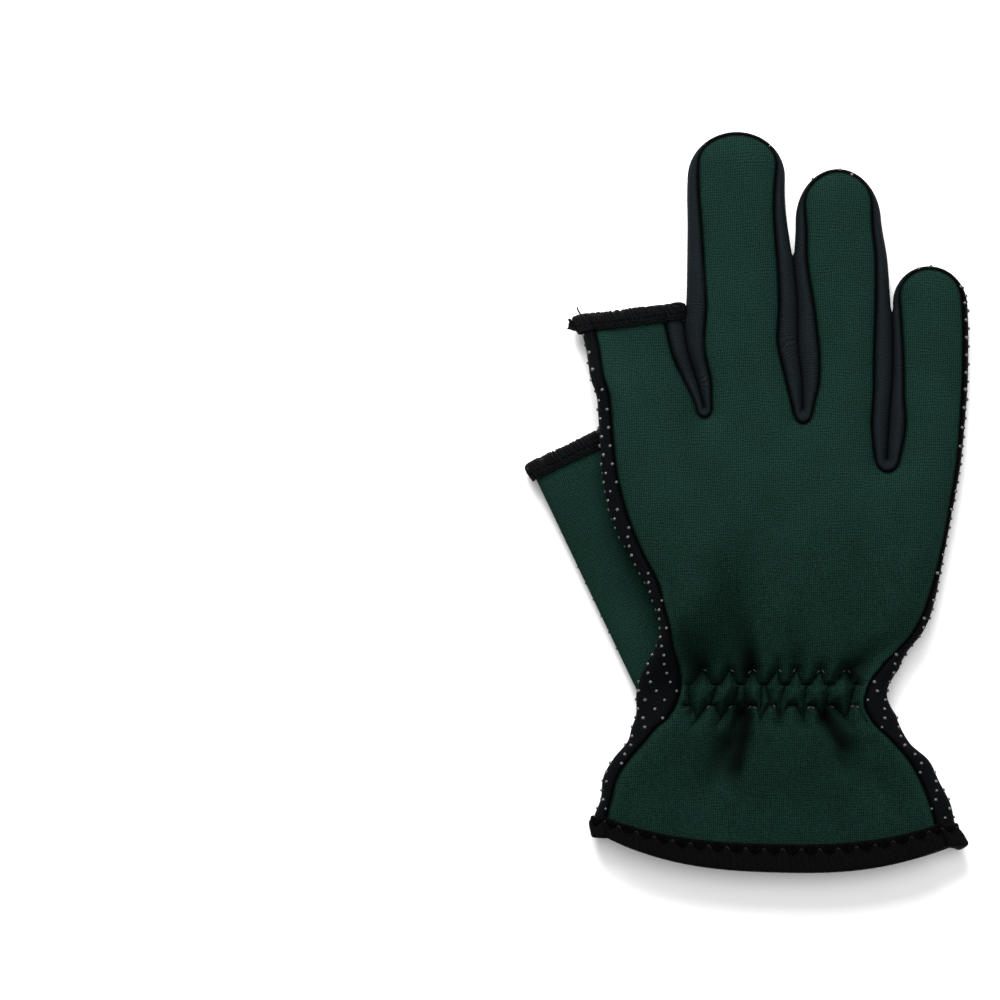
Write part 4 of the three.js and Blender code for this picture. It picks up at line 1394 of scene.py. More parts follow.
@dataclass(frozen=True)
class JerseyFinish(Finish):
    """Soft plain jersey with a grain and no visible ribs."""

    grain: float = 0.45
    row: float = 0.7
    row_share: float = 0.25
    drift_size: float = 4
    sway: float = 1.5
    mottle: float = 0.25
    mottle_size: float = 11
    contrast: float = 2.2
    level: float = -1.0
    # The first of shades gives the colour of the painted crease shade.
    shades: tuple[float, float, float] = (0.1, 0.35, 1.7)
    depth: float = 0.1
    rough: float = 0.8
    gloss: float = 0.03

    def make(self) -> Material:
        """Wires the material.

        Returns:
            The finished material.
        """
        made = super().make()
        vector, _, v = made.cloth()
        grain = made.noise(self.grain, 4, vector)
        drift = made.noise(self.drift_size, 2, vector)
        rows = made.wave(made.sums("MULTIPLY_ADD", drift, self.sway, v), self.row)
        relief = made.sums("MULTIPLY_ADD", rows, self.row_share, grain)
        even = made.sums("MULTIPLY_ADD", relief, self.contrast, self.level)
        tone = made.sums("MULTIPLY_ADD", made.noise(self.mottle_size, 3, vector), self.mottle, even)
        crease_shade_colour, low, high = (shade(self.colour, factor) for factor in self.shades)
        colour = made.shut_in(made.ramp(tone, low, high), crease_shade_colour)
        made.set(Base_Color=colour)
        made.bump(relief, self.depth)
        return made


@dataclass(frozen=True)
class RubberFinish(Finish):
    """Small moulded dots of clear black rubber."""

    colour: tuple[float, float, float] = (0.03, 0.031, 0.033)
    shades: tuple[float, float] = (0.5, 1.8)
    dust: float = 900.0
    rough: float = 0.12
    wear: float = 0.3
    gloss: float = 0.7
    depth: float = 0.02

    def make(self) -> Material:
        """Wires the material.

        Returns:
            The finished material.
        """
        made = super().make()
        vector = made.node("ShaderNodeTexCoord").outputs["Object"]
        dust = made.node("ShaderNodeTexNoise", Vector=vector, Scale=self.dust, Detail=2.0).outputs[0]
        colour = made.ramp(dust, *(shade(self.colour, factor) for factor in self.shades))
        rough = made.sums("MULTIPLY_ADD", dust, self.wear, self.rough)
        made.set(Base_Color=colour, Roughness=rough)
        made.bump(dust, self.depth)
        return made


@dataclass(frozen=True)
class ThreadFinish(Finish):
    """Twisted sewing thread."""

    twist: float = 0.5
    fibre: float = 0.2
    fibre_share: float = 0.6
    contrast: float = 0.6
    shades: tuple[float, float] = (0.4, 1.7)
    depth: float = 0.06
    rough: float = 0.6
    gloss: float = 0.05

    def make(self) -> Material:
        """Wires the material.

        Returns:
            The finished material.
        """
        made = super().make()
        vector, u, v = made.cloth()
        strands = made.wave(made.sums("ADD", u, v), self.twist)
        fibre = made.noise(self.fibre, 3, vector)
        relief = made.sums("MULTIPLY_ADD", fibre, self.fibre_share, strands)
        tone = made.sums("MULTIPLY", relief, self.contrast)
        colour = made.ramp(tone, *(shade(self.colour, factor) for factor in self.shades))
        made.set(Base_Color=colour)
        made.bump(relief, self.depth)
        return made


@dataclass
class Wardrobe:
    """The finishes of the glove, each made once."""

    back: KnitFinish = KnitFinish("green_knit", (0.0037, 0.0137, 0.0101))
    grip: KnitFinish = KnitFinish("grip_cloth", (0.0014, 0.0017, 0.002), depth=0.1, contrast=0.5)
    side: JerseyFinish = JerseyFinish("side_jersey", (0.0042, 0.0062, 0.0073))
    ribbon: JerseyFinish = JerseyFinish("hem_ribbon", (0.0014, 0.0014, 0.0015), grain=0.3)
    yarn: ThreadFinish = ThreadFinish("edging_yarn", (0.0014, 0.0016, 0.0019))
    stitch: ThreadFinish = ThreadFinish("stitch_thread", (0.013, 0.013, 0.013))
    elastic: ThreadFinish = ThreadFinish("elastic_thread", (0.055, 0.052, 0.037))
    dots: RubberFinish = RubberFinish("grip_rubber")

    def __post_init__(self) -> None:
        """Makes every material."""
        self.made = {name: getattr(self, name).make().data for name in self.__dataclass_fields__}


@dataclass
class Piece:
    """A mesh on its way to becoming a piece of the glove."""

    name: str
    finish: str
    slot: str
    nodes: tuple[str, ...] = ()
    crease_angle: float = 60

    def make(
        self,
        wardrobe: Wardrobe,
        points: Array,
        faces: Sequence[Sequence[int]],
        cloth: Optional[Array] = None,
    ) -> bpy.types.Object:
        """Makes the object and hangs it on the frame.

        Args:
            wardrobe: the finishes.
            points: vertices in millimetres.
            faces: vertices of each face, anticlockwise from outside.
            cloth: places in the flat cloth, with how much painted shade each gets, or none where the plan
                will do.

        Returns:
            The new object.
        """
        mesh = bpy.data.meshes.new(self.name)
        placed = (points - FRAME_ORIGIN) * MILLIMETRE
        mesh.from_pydata(placed.tolist(), [], [list(face) for face in faces])
        flat = points[:, :2] if cloth is None else cloth
        layer = mesh.attributes.new("cloth", "FLOAT_VECTOR", "POINT")
        values = flat if flat.shape[1] == 3 else np.column_stack([flat, np.zeros(len(flat))])
        layer.data.foreach_set("vector", values.astype(np.float32).ravel())
        mesh.polygons.foreach_set("use_smooth", np.ones(len(mesh.polygons), bool))
        mesh.set_sharp_from_angle(angle=math.radians(self.crease_angle))
        mesh.materials.append(wardrobe.made[self.finish])
        mesh.update()
        made = bpy.data.objects.new(self.name, mesh)
        bpy.context.scene.collection.objects.link(made)
        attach(made, "root")
        if self.nodes:
            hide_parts(*self.nodes)
        log.info("%s: %d faces", self.name, len(mesh.polygons))
        return made


def tidy_faces(faces: Array) -> list[list[int]]:
    """Takes repeated corners out of faces.

    Args:
        faces: four corners of each face.

    Returns:
        The faces that still have three corners or four.
    """
    made = []
    for face in faces.tolist():
        kept = [corner for place, corner in enumerate(face) if corner != face[place - 1]]
        if len(kept) > 2:
            made.append(kept)
    return made


@dataclass
class SewnPanel:
    """A panel of cloth: its outer face, its lining and its edges."""

    piece: Piece
    panel: Panel
    thickness: float = 1.8
    set_back: float = 0.04
    least_pull: float = 0.1
    lining_foot: float = 0.4

    def build(self, skin: Skin, open_ids: set[int], wardrobe: Wardrobe) -> bpy.types.Object:
        """Cuts the panel out of a skin.

        Args:
            skin: the layer that the panel belongs to.
            open_ids: vertices at the open mouths, which aren't set back.
            wardrobe: the finishes.

        Returns:
            The panel's object.
        """
        quads = skin.all_faces[skin.all_labels == self.panel.value]
        starts = quads.ravel()
        stops = np.roll(quads, -1, 1).ravel()
        keep = starts != stops
        starts, stops = starts[keep], stops[keep]
        size = len(skin.all_points)
        border = ~np.isin(starts * size + stops, stops * size + starts)
        starts, stops = starts[border], stops[border]
        sewn = ~(np.isin(starts, list(open_ids)) & np.isin(stops, list(open_ids)))
        inward = np.zeros_like(skin.all_points)
        along = unit(skin.all_points[stops] - skin.all_points[starts])
        for ids in (starts, stops):
            np.add.at(inward, ids[sewn], unit(np.cross(skin.normals[ids], along))[sewn])
        pulled = np.linalg.norm(inward, axis=1) > self.least_pull
        shift = unit(inward) * self.set_back * pulled[:, None]
        used = np.unique(quads)
        place = np.zeros(size, int)
        place[used] = np.arange(len(used))
        outer = (skin.all_points + shift)[used]
        inner = outer - skin.plain_normals[used] * self.thickness
        inner[:, 2] = np.maximum(inner[:, 2], self.lining_foot)
        front = place[quads]
        back = front[:, ::-1] + len(used)
        first, last = place[starts], place[stops]
        rim = np.stack([last, first, first + len(used), last + len(used)], 1)
        cloth = np.vstack([skin.all_cloth[used]] * 2)
        faces = tidy_faces(np.vstack([front, back, rim]))
        return self.piece.make(wardrobe, np.vstack([outer, inner]), faces, cloth)


@dataclass
class Rim:
    """The cloth next to a mouth, read by the way along the mouth and the height from it."""

    skin: Skin
    loops: Array
    samples: int
    turn: int = 1

    def __post_init__(self) -> None:
        """Spreads even samples along the loop."""
        loops = np.concatenate([self.loops, self.loops[:, :1]], 1)[:, :: self.turn]
        points = self.skin.all_points[loops]
        normals = self.skin.plain_normals[loops]
        run = run_along(points[0])
        self.length = float(run[-1])
        self.along = np.arange(self.samples) / self.samples * self.length

        def spread(rows: Array) -> Array:
            """Rows read at the even samples."""
            columns = [[np.interp(self.along, run, row[:, axis]) for axis in range(3)] for row in rows]
            return np.array(columns).transpose(0, 2, 1)

        self.points = spread(points)
        self.normals = unit(spread(normals))
        steps = np.linalg.norm(np.diff(self.points, axis=0), axis=2).mean(1)
        self.heights = np.concatenate([[0], np.cumsum(steps)])
        self.outward = unit(self.points[0] - self.points[2])

    def at(self, height: float, stand: Number, beyond: Number = 0) -> Array:
        """Points over the cloth all round the mouth.

        Args:
            height: distance from the mouth along the cloth.
            stand: distance over the cloth.
            beyond: distance past the mouth.

        Returns:
            One point for each sample.
        """
        row = np.searchsorted(self.heights, height, side="right") - 1
        row = max(min(row, len(self.heights) - 2), 0)
        part = (height - self.heights[row]) / (self.heights[row + 1] - self.heights[row])
        point = lerp(self.points[row], self.points[row + 1], part)
        normal = unit(lerp(self.normals[row], self.normals[row + 1], clamp(part)))
        stand = np.broadcast_to(np.asarray(stand, float), (self.samples,))[:, None]
        beyond = np.broadcast_to(np.asarray(beyond, float), (self.samples,))[:, None]
        return point + normal * stand + self.outward * beyond


def ring_faces(around: int, sections: int) -> Array:
    """Faces of a closed ring of closed sections.

    Args:
        around: how many sections the ring has.
        sections: how many points a section has.

    Returns:
        Four corners of each face, where the points are numbered section by section.
    """
    rows, columns = np.meshgrid(np.arange(around), np.arange(sections), indexing="ij")
    here, after = rows * sections, (rows + 1) % around * sections
    beside = (columns + 1) % sections
    corners = [here + columns, here + beside, after + beside, after + columns]
    return np.stack([corner.ravel() for corner in corners], 1)


# A direction that no thread runs along, the width of a thread's ends, and how many starts its twist has.
THREAD_AXIS = (0.31, 0.17, 0.93)
THREAD_END = 0.45
THREAD_STARTS = 7


def tubes(paths: Sequence[Array], radius: float, sides: int = 6) -> tuple[Array, list[list[int]], Array]:
    """Closed round tubes along paths.

    Args:
        paths: points of each path.
        radius: radius of the tubes.
        sides: flats round a tube.

    Returns:
        Vertices, faces and places in the thread.
    """
    points, faces, cloth = [], [], []
    turn = np.arange(sides) / sides * 2 * math.pi
    base = 0
    for path in paths:
        along = unit(np.gradient(path, axis=0))
        first = unit(np.cross(along, THREAD_AXIS))
        taper = np.ones(len(path))
        taper[[0, -1]] = THREAD_END
        ring = circle(first, np.cross(along, first), turn)
        points.append((path[:, None] + ring * (radius * taper)[:, None, None]).reshape(-1, 3))
        flat = np.stack(np.broadcast_arrays(turn[None] * radius, run_along(path)[:, None]), 2)
        cloth.append(flat.reshape(-1, 2) + base % THREAD_STARTS)
        for row in range(len(path) - 1):
            low = base + row * sides
            for side in range(sides):
                beside = (side + 1) % sides
                faces.append([low + side, low + beside, low + sides + beside, low + sides + side])
        faces.append([base + side for side in reversed(range(sides))])
        last = base + (len(path) - 1) * sides
        faces.append([last + side for side in range(sides)])
        base += len(path) * sides
    return np.vstack(points), faces, np.vstack(cloth)


@dataclass
class CuffRibbon:
    """Ribbed ribbon folded over the hem and held by a zigzag stitch.

    It is pulled in along the stitch and in notches over the stitch's low corners, and swells into lobes
    under its peaks. Its ends overlap at one place. The crown is its fold past the hem.
    """

    height: float = 7.5
    thickness: float = 0.9
    clearance: float = 0.3
    cloth: float = 1.8
    rib_pitch: float = 0.75
    rib_depth: float = 0.13
    zigzag_pitch: float = 6.0
    zigzag_low: float = 3.3
    zigzag_high: float = 6.2
    stitch_depth: float = 0.5
    stitch_reach: float = 0.5
    notch_depth: float = 1.1
    notch_power: float = 0.7
    notch_run: float = 2.2
    lobe: float = 0.25
    lobe_run: float = 2.5
    edge_drop: float = 0.35
    edge_run: float = 0.7
    crown: float = 1.2
    crown_power: float = 0.6
    crown_turn: tuple[float, float, int] = (0.15, 0.85, 6)
    inner_rows: int = 6
    inner_foot: float = 0.2
    crease_angle: float = 50
    # peak_light and edge_fade thin out the painted shade above the zigzag.
    peak_light: float = 0.6
    edge_fade: float = 0.5
    tick: float = 0.75
    tick_points: int = 7
    tick_stand: float = 0.08
    tick_bow: float = 0.14
    thread: float = 0.15
    overlap: tuple[float, float] = (0.42, 0.452)
    overlap_rise: float = 0.7
    overlap_slope: float = 150
    samples: int = 1500
    levels: int = 22

    def zigzag(self, along: Array) -> Array:
        """Height of the zigzag stitch, from 0 at its notches to 1 at its peaks."""
        return np.abs(2 * ((along / self.zigzag_pitch) % 1) - 1)

    def stand(self, rim: Rim, height: float) -> Array:
        """How far the ribbon's outer face stands over the cloth.

        Args:
            rim: the hem.
            height: height of the row from the hem.

        Returns:
            One distance for each sample along the hem.
        """
        along = rim.along
        wave = self.zigzag(along)
        off = height - lerp(self.zigzag_low, self.zigzag_high, wave)
        ribs = self.rib_depth * np.cos(2 * math.pi * along / self.rib_pitch)
        line = self.stitch_depth * np.exp(-((off / self.stitch_reach) ** 2))
        notch = self.notch_depth * (1 - wave) ** self.notch_power * np.exp(-off / self.notch_run)
        recess = np.where(off > 0, notch, 0)
        lobe = np.where(off < 0, self.lobe * wave * np.exp(off / self.lobe_run), 0)
        share = along / rim.length
        start = smooth((share - self.overlap[0]) * self.overlap_slope)
        inside = start * smooth((self.overlap[1] - share) * self.overlap_slope)
        edge = self.edge_drop * smooth((height - self.height + self.edge_run) / self.edge_run)
        stand = self.clearance + self.thickness + ribs - line - recess + lobe
        return stand + self.overlap_rise * inside - edge

    def build(self, rim: Rim, wardrobe: Wardrobe) -> None:
        """Makes the ribbon and its stitching.

        Args:
            rim: the hem.
            wardrobe: the finishes.
        """
        low = self.clearance
        heights = np.linspace(self.height, 0, self.levels)
        profile = [rim.at(height, self.stand(rim, height)) for height in heights]
        stand = self.stand(rim, 0)
        middle = -self.cloth / 2
        for turn in np.linspace(*self.crown_turn) * math.pi:
            across = middle + (stand - middle) * math.cos(turn)
            profile.append(rim.at(0, across, self.crown * math.sin(turn) ** self.crown_power))
        inner = -self.cloth - low - self.thickness
        profile += [rim.at(height, inner) for height in np.linspace(0, self.height, self.inner_rows)]
        profile += [rim.at(self.height, -self.cloth - low), rim.at(self.inner_foot, -self.cloth - low)]
        profile += [rim.at(0, -self.cloth - low, low), rim.at(0, low, low)]
        profile += [rim.at(self.height, low)]
        points = np.stack(profile, 1)
        run = np.cumsum(np.linalg.norm(np.diff(points, axis=1), axis=2).mean(0))
        # Painted shade on the ribbon: full above the zigzag, less at its peaks by peak_light, and fading
        # out near the top edge over edge_fade.
        painted_shade = np.zeros(points.shape[:2])
        wave = self.zigzag(rim.along)[:, None]
        above = heights[None] - lerp(self.zigzag_low, self.zigzag_high, wave)
        painted_shade[:, : self.levels] = smooth(1 + above) * (1 - self.peak_light * wave)
        painted_shade[:, : self.levels] *= smooth((self.height - heights[None]) / self.edge_fade)
        run = np.concatenate([[0], run])
        flat = np.stack(np.broadcast_arrays(rim.along[:, None], run[None], painted_shade), 2).reshape(-1, 3)
        faces = ring_faces(*points.shape[:2]).tolist()
        piece = Piece("cuff_binding_ribbon", "ribbon", "edging", ("cuff_binding",), self.crease_angle)
        piece.make(wardrobe, points.reshape(-1, 3), faces, flat)
        self.sew(rim, wardrobe)

    def sew(self, rim: Rim, wardrobe: Wardrobe) -> None:
        """Makes the ticks of thread that show at the tops of the zigzag.

        Args:
            rim: the hem.
            wardrobe: the finishes.
        """
        paths = []
        for stitch in range(int(rim.length / self.zigzag_pitch)):
            where = stitch * self.zigzag_pitch + np.linspace(-self.tick, self.tick, self.tick_points)
            places = np.clip((where / rim.length * rim.samples).astype(int), 0, rim.samples - 1)
            heights = lerp(self.zigzag_low, self.zigzag_high, self.zigzag(where))
            bows = np.sin(np.linspace(0, math.pi, self.tick_points))
            path = []
            for height, place, bow in zip(heights.tolist(), places, bows.tolist()):
                stand = self.stand(rim, height) + self.tick_stand + self.tick_bow * bow
                path.append(rim.at(height, stand)[place])
            paths.append(np.array(path))
        points, faces, cloth = tubes(paths, self.thread)
        Piece("cuff_stitching", "stitch", "edging").make(wardrobe, points, faces, cloth)


@dataclass
class YarnEdging:
    """Overlocked edge of a mouth: a soft roll under close wraps of yarn.

    Each of the roll's lumps has a count of waves round the mouth, a share and a start. The crown is the
    part past the mouth. Chains of yarn run along the mouth on some lanes of the wraps.
    """

    name: str
    height: float = 4.2
    cloth: float = 1.8
    clearance: float = 0.3
    skirt: float = 0.15
    swell: float = 1.0
    swell_power: float = 0.6
    lump: float = 0.14
    lumps: tuple[tuple[float, float, float], ...] = ((5, 1, 1), (11, 0.8, 2.3), (23, 0.7, 0.7))
    foot: float = 0.3
    outer_rows: int = 9
    inner_rows: int = 5
    crown: float = 0.6
    crown_power: float = 0.6
    crown_turn: tuple[float, float, int] = (0.1, 0.9, 7)
    wrap_pitch: float = 1.15
    yarn: float = 0.44
    yarn_stand: float = 0.55
    lean: float = 4.2
    lean_spread: float = 0.18
    wander: float = 0.12
    end_slip: tuple[float, float] = (-0.5, 0.3)
    chain_lanes: tuple[int, ...] = (1, 3, 6)
    chain_step: int = 2
    chain_swing: float = 0.3
    chain_spread: float = 0.08
    rest: float = -0.8
    samples: int = 420

    def stand(self, rim: Rim, height: float) -> Array:
        """How far the roll stands over the cloth.

        Args:
            rim: the mouth.
            height: height of the row from the mouth.

        Returns:
            One distance for each sample along the mouth.
        """
        bulge = math.sin(math.pi * min(1, max(0, 1 - height / self.height)) * 0.5) ** self.swell_power
        turn = rim.along / rim.length * 2 * math.pi
        lumps = sum(share * np.sin(waves * turn + start) for waves, share, start in self.lumps)
        return self.clearance + self.skirt + (self.swell + self.lump * lumps) * bulge

    def section(self, rim: Rim, extra: float) -> Array:
        """Points of the roll's outer face from its skirt outside, over the mouth, to its skirt inside.

        Args:
            rim: the mouth.
            extra: distance over the roll.

        Returns:
            Samples by section points.
        """
        rows = []
        for height in np.linspace(self.height, self.foot, self.outer_rows):
            rows.append(rim.at(height, self.stand(rim, height) + extra))
        top = self.stand(rim, 0) + extra
        middle = -self.cloth / 2
        for turn in np.linspace(*self.crown_turn) * math.pi:
            across = middle + (top - middle) * math.cos(turn)
            rows.append(rim.at(0, across, (self.crown * top + extra) * math.sin(turn) ** self.crown_power))
        for height in np.linspace(self.foot, self.height, self.inner_rows):
            rows.append(rim.at(height, -self.cloth - self.stand(rim, height) - extra))
        return np.stack(rows, 1)

    def build(self, rim: Rim, wardrobe: Wardrobe) -> None:
        """Makes the roll and its wraps.

        Args:
            rim: the mouth.
            wardrobe: the finishes.
        """
        outer = self.section(rim, 0)
        low = self.clearance
        closing = [rim.at(0, -self.cloth - low, low), rim.at(0, low, low)]
        points = np.concatenate([outer, np.stack(closing, 1)], 1)
        faces = ring_faces(*points.shape[:2]).tolist()
        piece = Piece(f"{self.name}_roll", "yarn", "edging", (self.name,))
        piece.make(wardrobe, points.reshape(-1, 3), faces)
        self.wrap(rim, wardrobe)

    def wrap(self, rim: Rim, wardrobe: Wardrobe) -> None:
        """Lays the yarn round the roll, leaning along the mouth.

        Args:
            rim: the mouth.
            wardrobe: the finishes.
        """
        rng = np.random.default_rng(SEED)
        cover = self.section(rim, self.yarn * self.yarn_stand)
        count = round(rim.length / self.wrap_pitch)
        sections = cover.shape[1]
        paths = []
        for wrap in range(count):
            start = wrap / count * rim.samples
            lean = self.lean * rng.normal(1, self.lean_spread) / rim.length * rim.samples
            drift = np.linspace(0, lean, sections) + rng.normal(0, self.wander, sections)
            places = (start + drift) % rim.samples
            low = places.astype(int) % rim.samples
            part = (places - np.floor(places))[:, None]
            order = np.arange(sections)
            path = lerp(cover[low, order], cover[(low + 1) % rim.samples, order], part)
            path[0] = lerp(path[0], path[1], rng.uniform(*self.end_slip))
            paths.append(path)
        places = np.arange(0, rim.samples, self.chain_step)
        swing = ((np.arange(len(places)) % 2) * 2 - 1) * self.chain_swing
        for lane in self.chain_lanes:
            wobble = swing + rng.normal(0, self.chain_spread, len(places))
            paths.append(cover[places, lane] + rim.outward[places] * wobble[:, None])
        points, faces, cloth = tubes(paths, self.yarn)
        points[:, 2] = np.maximum(points[:, 2], self.rest)
        Piece(f"{self.name}_yarn", "yarn", "edging").make(wardrobe, points, faces, cloth)


@dataclass
class GripDots:
    """Rubber dots in staggered rows on the palm cloth.

    The profile gives shares of the radius and of the rise, from the foot up. No dot reaches under lowest.
    Dots that face up more than highest are left out, and of those at the fingertips only a share stays.
    """

    name: str
    slot: str
    pitch: float = 6.5
    row: float = 2.9
    radius: float = 0.55
    rise: float = 0.6
    profile: tuple[tuple[float, float], ...] = ((1, -0.2), (0.92, 0.45), (0.55, 0.85))
    spread: float = 0.08
    sides: int = 8
    axis: tuple[float, float, float] = (0.1, 0.9, 0.2)
    crease_angle: float = 80
    lowest: float = 0.0
    highest: float = 1.0
    tip_share: float = 0.15
    tip_facing: float = 0.5
    least_area: float = 1e-9
    slack: float = 1e-6

    def spots(self, skin: Skin, panel: Panel) -> tuple[Array, Array]:
        """Finds where the rows of dots fall on a panel.

        Args:
            skin: the layer that holds the panel.
            panel: the panel.

        Returns:
            The dots' feet and their directions.
        """
        quads = skin.all_faces[skin.all_labels == panel.value]
        triangles = np.vstack([quads[:, [0, 1, 2]], quads[:, [0, 2, 3]]])
        flat = skin.all_cloth[triangles]
        centre = flat.mean(1)
        level = np.round(centre[:, 1] / self.row)
        offset = (level % 2) * self.pitch / 2
        column = np.round((centre[:, 0] - offset) / self.pitch)
        target = np.stack([column * self.pitch + offset, level * self.row], 1)
        first, second, third = flat[:, 0], flat[:, 1], flat[:, 2]

        def area(a: Array, b: Array, c: Array) -> Array:
            """Twice the signed area of flat triangles."""
            return (b[:, 0] - a[:, 0]) * (c[:, 1] - a[:, 1]) - (b[:, 1] - a[:, 1]) * (c[:, 0] - a[:, 0])

        whole = area(first, second, third)
        safe = np.where(np.abs(whole) < self.least_area, 1, whole)
        parts = [area(target, second, third), area(first, target, third), area(first, second, target)]
        parts = np.stack(parts, 1) / safe[:, None]
        hit = (np.abs(whole) > self.least_area) & (parts >= -self.slack).all(1)
        feet = (skin.all_points[triangles[hit]] * parts[hit][:, :, None]).sum(1)
        ways = unit((skin.normals[triangles[hit]] * parts[hit][:, :, None]).sum(1))
        keep = np.unique(np.round(feet, 2), axis=0, return_index=True)[1]
        keep = keep[ways[keep, 2] < self.highest]
        return feet[keep], ways[keep]

    def build(self, skin: Skin, panel: Panel, wardrobe: Wardrobe) -> None:
        """Makes one low dome at each spot.

        Args:
            skin: the layer that holds the panel.
            panel: the panel.
            wardrobe: the finishes.
        """
        rng = np.random.default_rng(SEED)
        feet, ways = self.spots(skin, panel)
        at_tip = (ways[:, 1] > self.tip_facing) & (ways[:, 2] > -self.tip_facing)
        keep = ~at_tip | (rng.random(len(feet)) < self.tip_share)
        feet, ways = feet[keep], ways[keep]
        turn = np.arange(self.sides) / self.sides * 2 * math.pi
        first = unit(np.cross(ways, self.axis))
        ring = circle(first, np.cross(ways, first), turn)
        size = rng.normal(1, self.spread, len(feet))[:, None]
        rings = []
        for wide, high in self.profile:
            centre = feet + ways * self.rise * high * size
            rings.append(centre[:, None] + ring * (self.radius * wide * size)[:, :, None])
        top = feet + ways * self.rise * size
        points = np.concatenate([*rings, top[:, None]], 1)
        points[:, :, 2] = np.maximum(points[:, :, 2], self.lowest)
        each = points.shape[1]
        faces = []
        for dot in range(len(feet)):
            base = dot * each
            last = base + (len(rings) - 1) * self.sides
            for side in range(self.sides):
                beside = (side + 1) % self.sides
                for low in range(base, last, self.sides):
                    high = low + self.sides
                    faces.append([low + side, low + beside, high + beside, high + side])
                faces.append([last + side, last + beside, base + each - 1])
            faces.append([base + side for side in reversed(range(self.sides))])
        piece = Piece(self.name, "dots", self.slot, (), self.crease_angle)
        piece.make(wardrobe, points.reshape(-1, 3), faces)


@dataclass
class WristStitches:
    """Short stitches of elastic thread that show at the peaks of the two gathered lines."""

    gathers: WristGathers
    length: float = 1.3
    radius: float = 0.17
    hidden_share: float = 0.25
    apart: float = 0.75
    below: float = 0.5
    shake: float = 0.2
    slopes: tuple[float, float] = (0.5, 1.3)
    points: int = 5
    bow: float = 0.2
    sink: float = 0.1

    def build(self, hand: HandSkin, wardrobe: Wardrobe) -> None:
        """Lays two leaning stitches at each peak, of which some are hidden in the cloth.

        Args:
            hand: the skin that they lie on.
            wardrobe: the finishes.
        """
        rng = np.random.default_rng(SEED)
        upper = (self.gathers.upper_peaks, self.gathers.upper_peak_y)
        lower = (self.gathers.lower_peaks[1:], self.gathers.lower_peak_y)
        steps = np.linspace(-0.5, 0.5, self.points)[:, None] * self.length
        bow = self.bow * np.sin(np.linspace(0, math.pi, self.points))
        paths = []
        for peaks, y in (upper, lower):
            for x in peaks:
                for lean in (-1, 1):
                    if rng.random() < self.hidden_share:
                        continue
                    middle = np.array([x + lean * self.apart, y - self.below + rng.normal(0, self.shake)])
                    way = unit(np.array([1.0, -lean * rng.uniform(*self.slopes)]))
                    path = hand.surface(middle + steps * way)
                    path[:, 2] += self.radius + bow - self.sink
                    paths.append(path)
        points, faces, cloth = tubes(paths, self.radius)
        Piece("wrist_stitching", "elastic", "back_knit").make(wardrobe, points, faces, cloth)


@dataclass
class LooseThreads:
    """The tangle of yarn where the seams end at the index finger's mouth, and two cut ends.

    Each end has a lean and a share of the full length.
    """

    hand: HandSkin
    curls: int = 9
    spread: float = 1.7
    radius: float = 0.3
    steps: int = 26
    turns: tuple[float, float] = (1.4, 2.2)
    sizes: tuple[float, float] = (0.55, 1.1)
    wander: float = 0.12
    scatter: float = 0.7
    knot_shift: tuple[float, float] = (1.2, 1.6)
    knot_share: float = 0.42
    lowest: float = 0.3
    end_points: int = 9
    ends: tuple[tuple[float, float], ...] = ((-0.15, 1), (0.5, 0.5))
    end_foot: tuple[float, float, float] = (1.6, 1.2, 0)
    end_reach: tuple[float, float, float] = (2.4, 4.6, 1.6)
    end_bow: tuple[float, float, float] = (0.5, 0, 0.3)
    end_turn: float = 5

    def curl(self, centre: Array, rng: np.random.Generator) -> Array:
        """A wandering loop of yarn.

        Args:
            centre: middle of the loop.
            rng: the random draws.

        Returns:
            Points of its path.
        """
        turn = np.linspace(0, rng.uniform(*self.turns) * 2 * math.pi, self.steps)
        axes = unit(rng.normal(size=(2, 3)))
        size = self.spread * rng.uniform(*self.sizes)
        wander = np.cumsum(rng.normal(0, self.wander, (self.steps, 3)), axis=0)
        return centre + size * (np.cos(turn)[:, None] * axes[0] + np.sin(turn)[:, None] * axes[1]) + wander

    def build(self, wardrobe: Wardrobe) -> None:
        """Makes the tangle and the cut ends.

        Args:
            wardrobe: the finishes.
        """
        rng = np.random.default_rng(SEED)
        plan = self.hand.plan
        side = self.hand.lefts[0].edge[-1]
        height = float(plan.lift(side[None])[0] + self.knot_share * plan.finger_height)
        knot = np.array([side[0] - self.knot_shift[0], side[1] - self.knot_shift[1], height])
        paths = [self.curl(knot + rng.normal(0, self.scatter, 3), rng) for _ in range(self.curls)]
        rise = np.linspace(0, 1, self.end_points)[:, None]
        bow = np.array(self.end_bow) * np.sin(rise * self.end_turn)
        for lean, share in self.ends:
            reach = np.array([lean * self.end_reach[0], *self.end_reach[1:]])
            paths.append(knot + np.array(self.end_foot) + (reach * rise + bow) * share)
        points, faces, cloth = tubes(paths, self.radius)
        points[:, 2] = np.maximum(points[:, 2], self.lowest)
        Piece("index_loose_threads", "yarn", "edging").make(wardrobe, points, faces, cloth)


@dataclass(frozen=True)
class Lamp:
    """A square soft light that looks at the glove, with its place and side in metres."""

    name: str
    place: tuple[float, float, float]
    size: float
    watts: float

    def hang(self) -> None:
        """Adds the light."""
        data = bpy.data.lights.new(self.name, "AREA")
        data.size = self.size
        data.energy = self.watts
        lamp = bpy.data.objects.new(self.name, data)
        lamp.location = self.place
        way = -np.array(self.place)
        tilt = math.atan2(math.hypot(way[0], way[1]), -way[2])
        lamp.rotation_euler = (tilt, 0, math.atan2(way[1], way[0]) - math.pi / 2)
        bpy.context.scene.collection.objects.link(lamp)


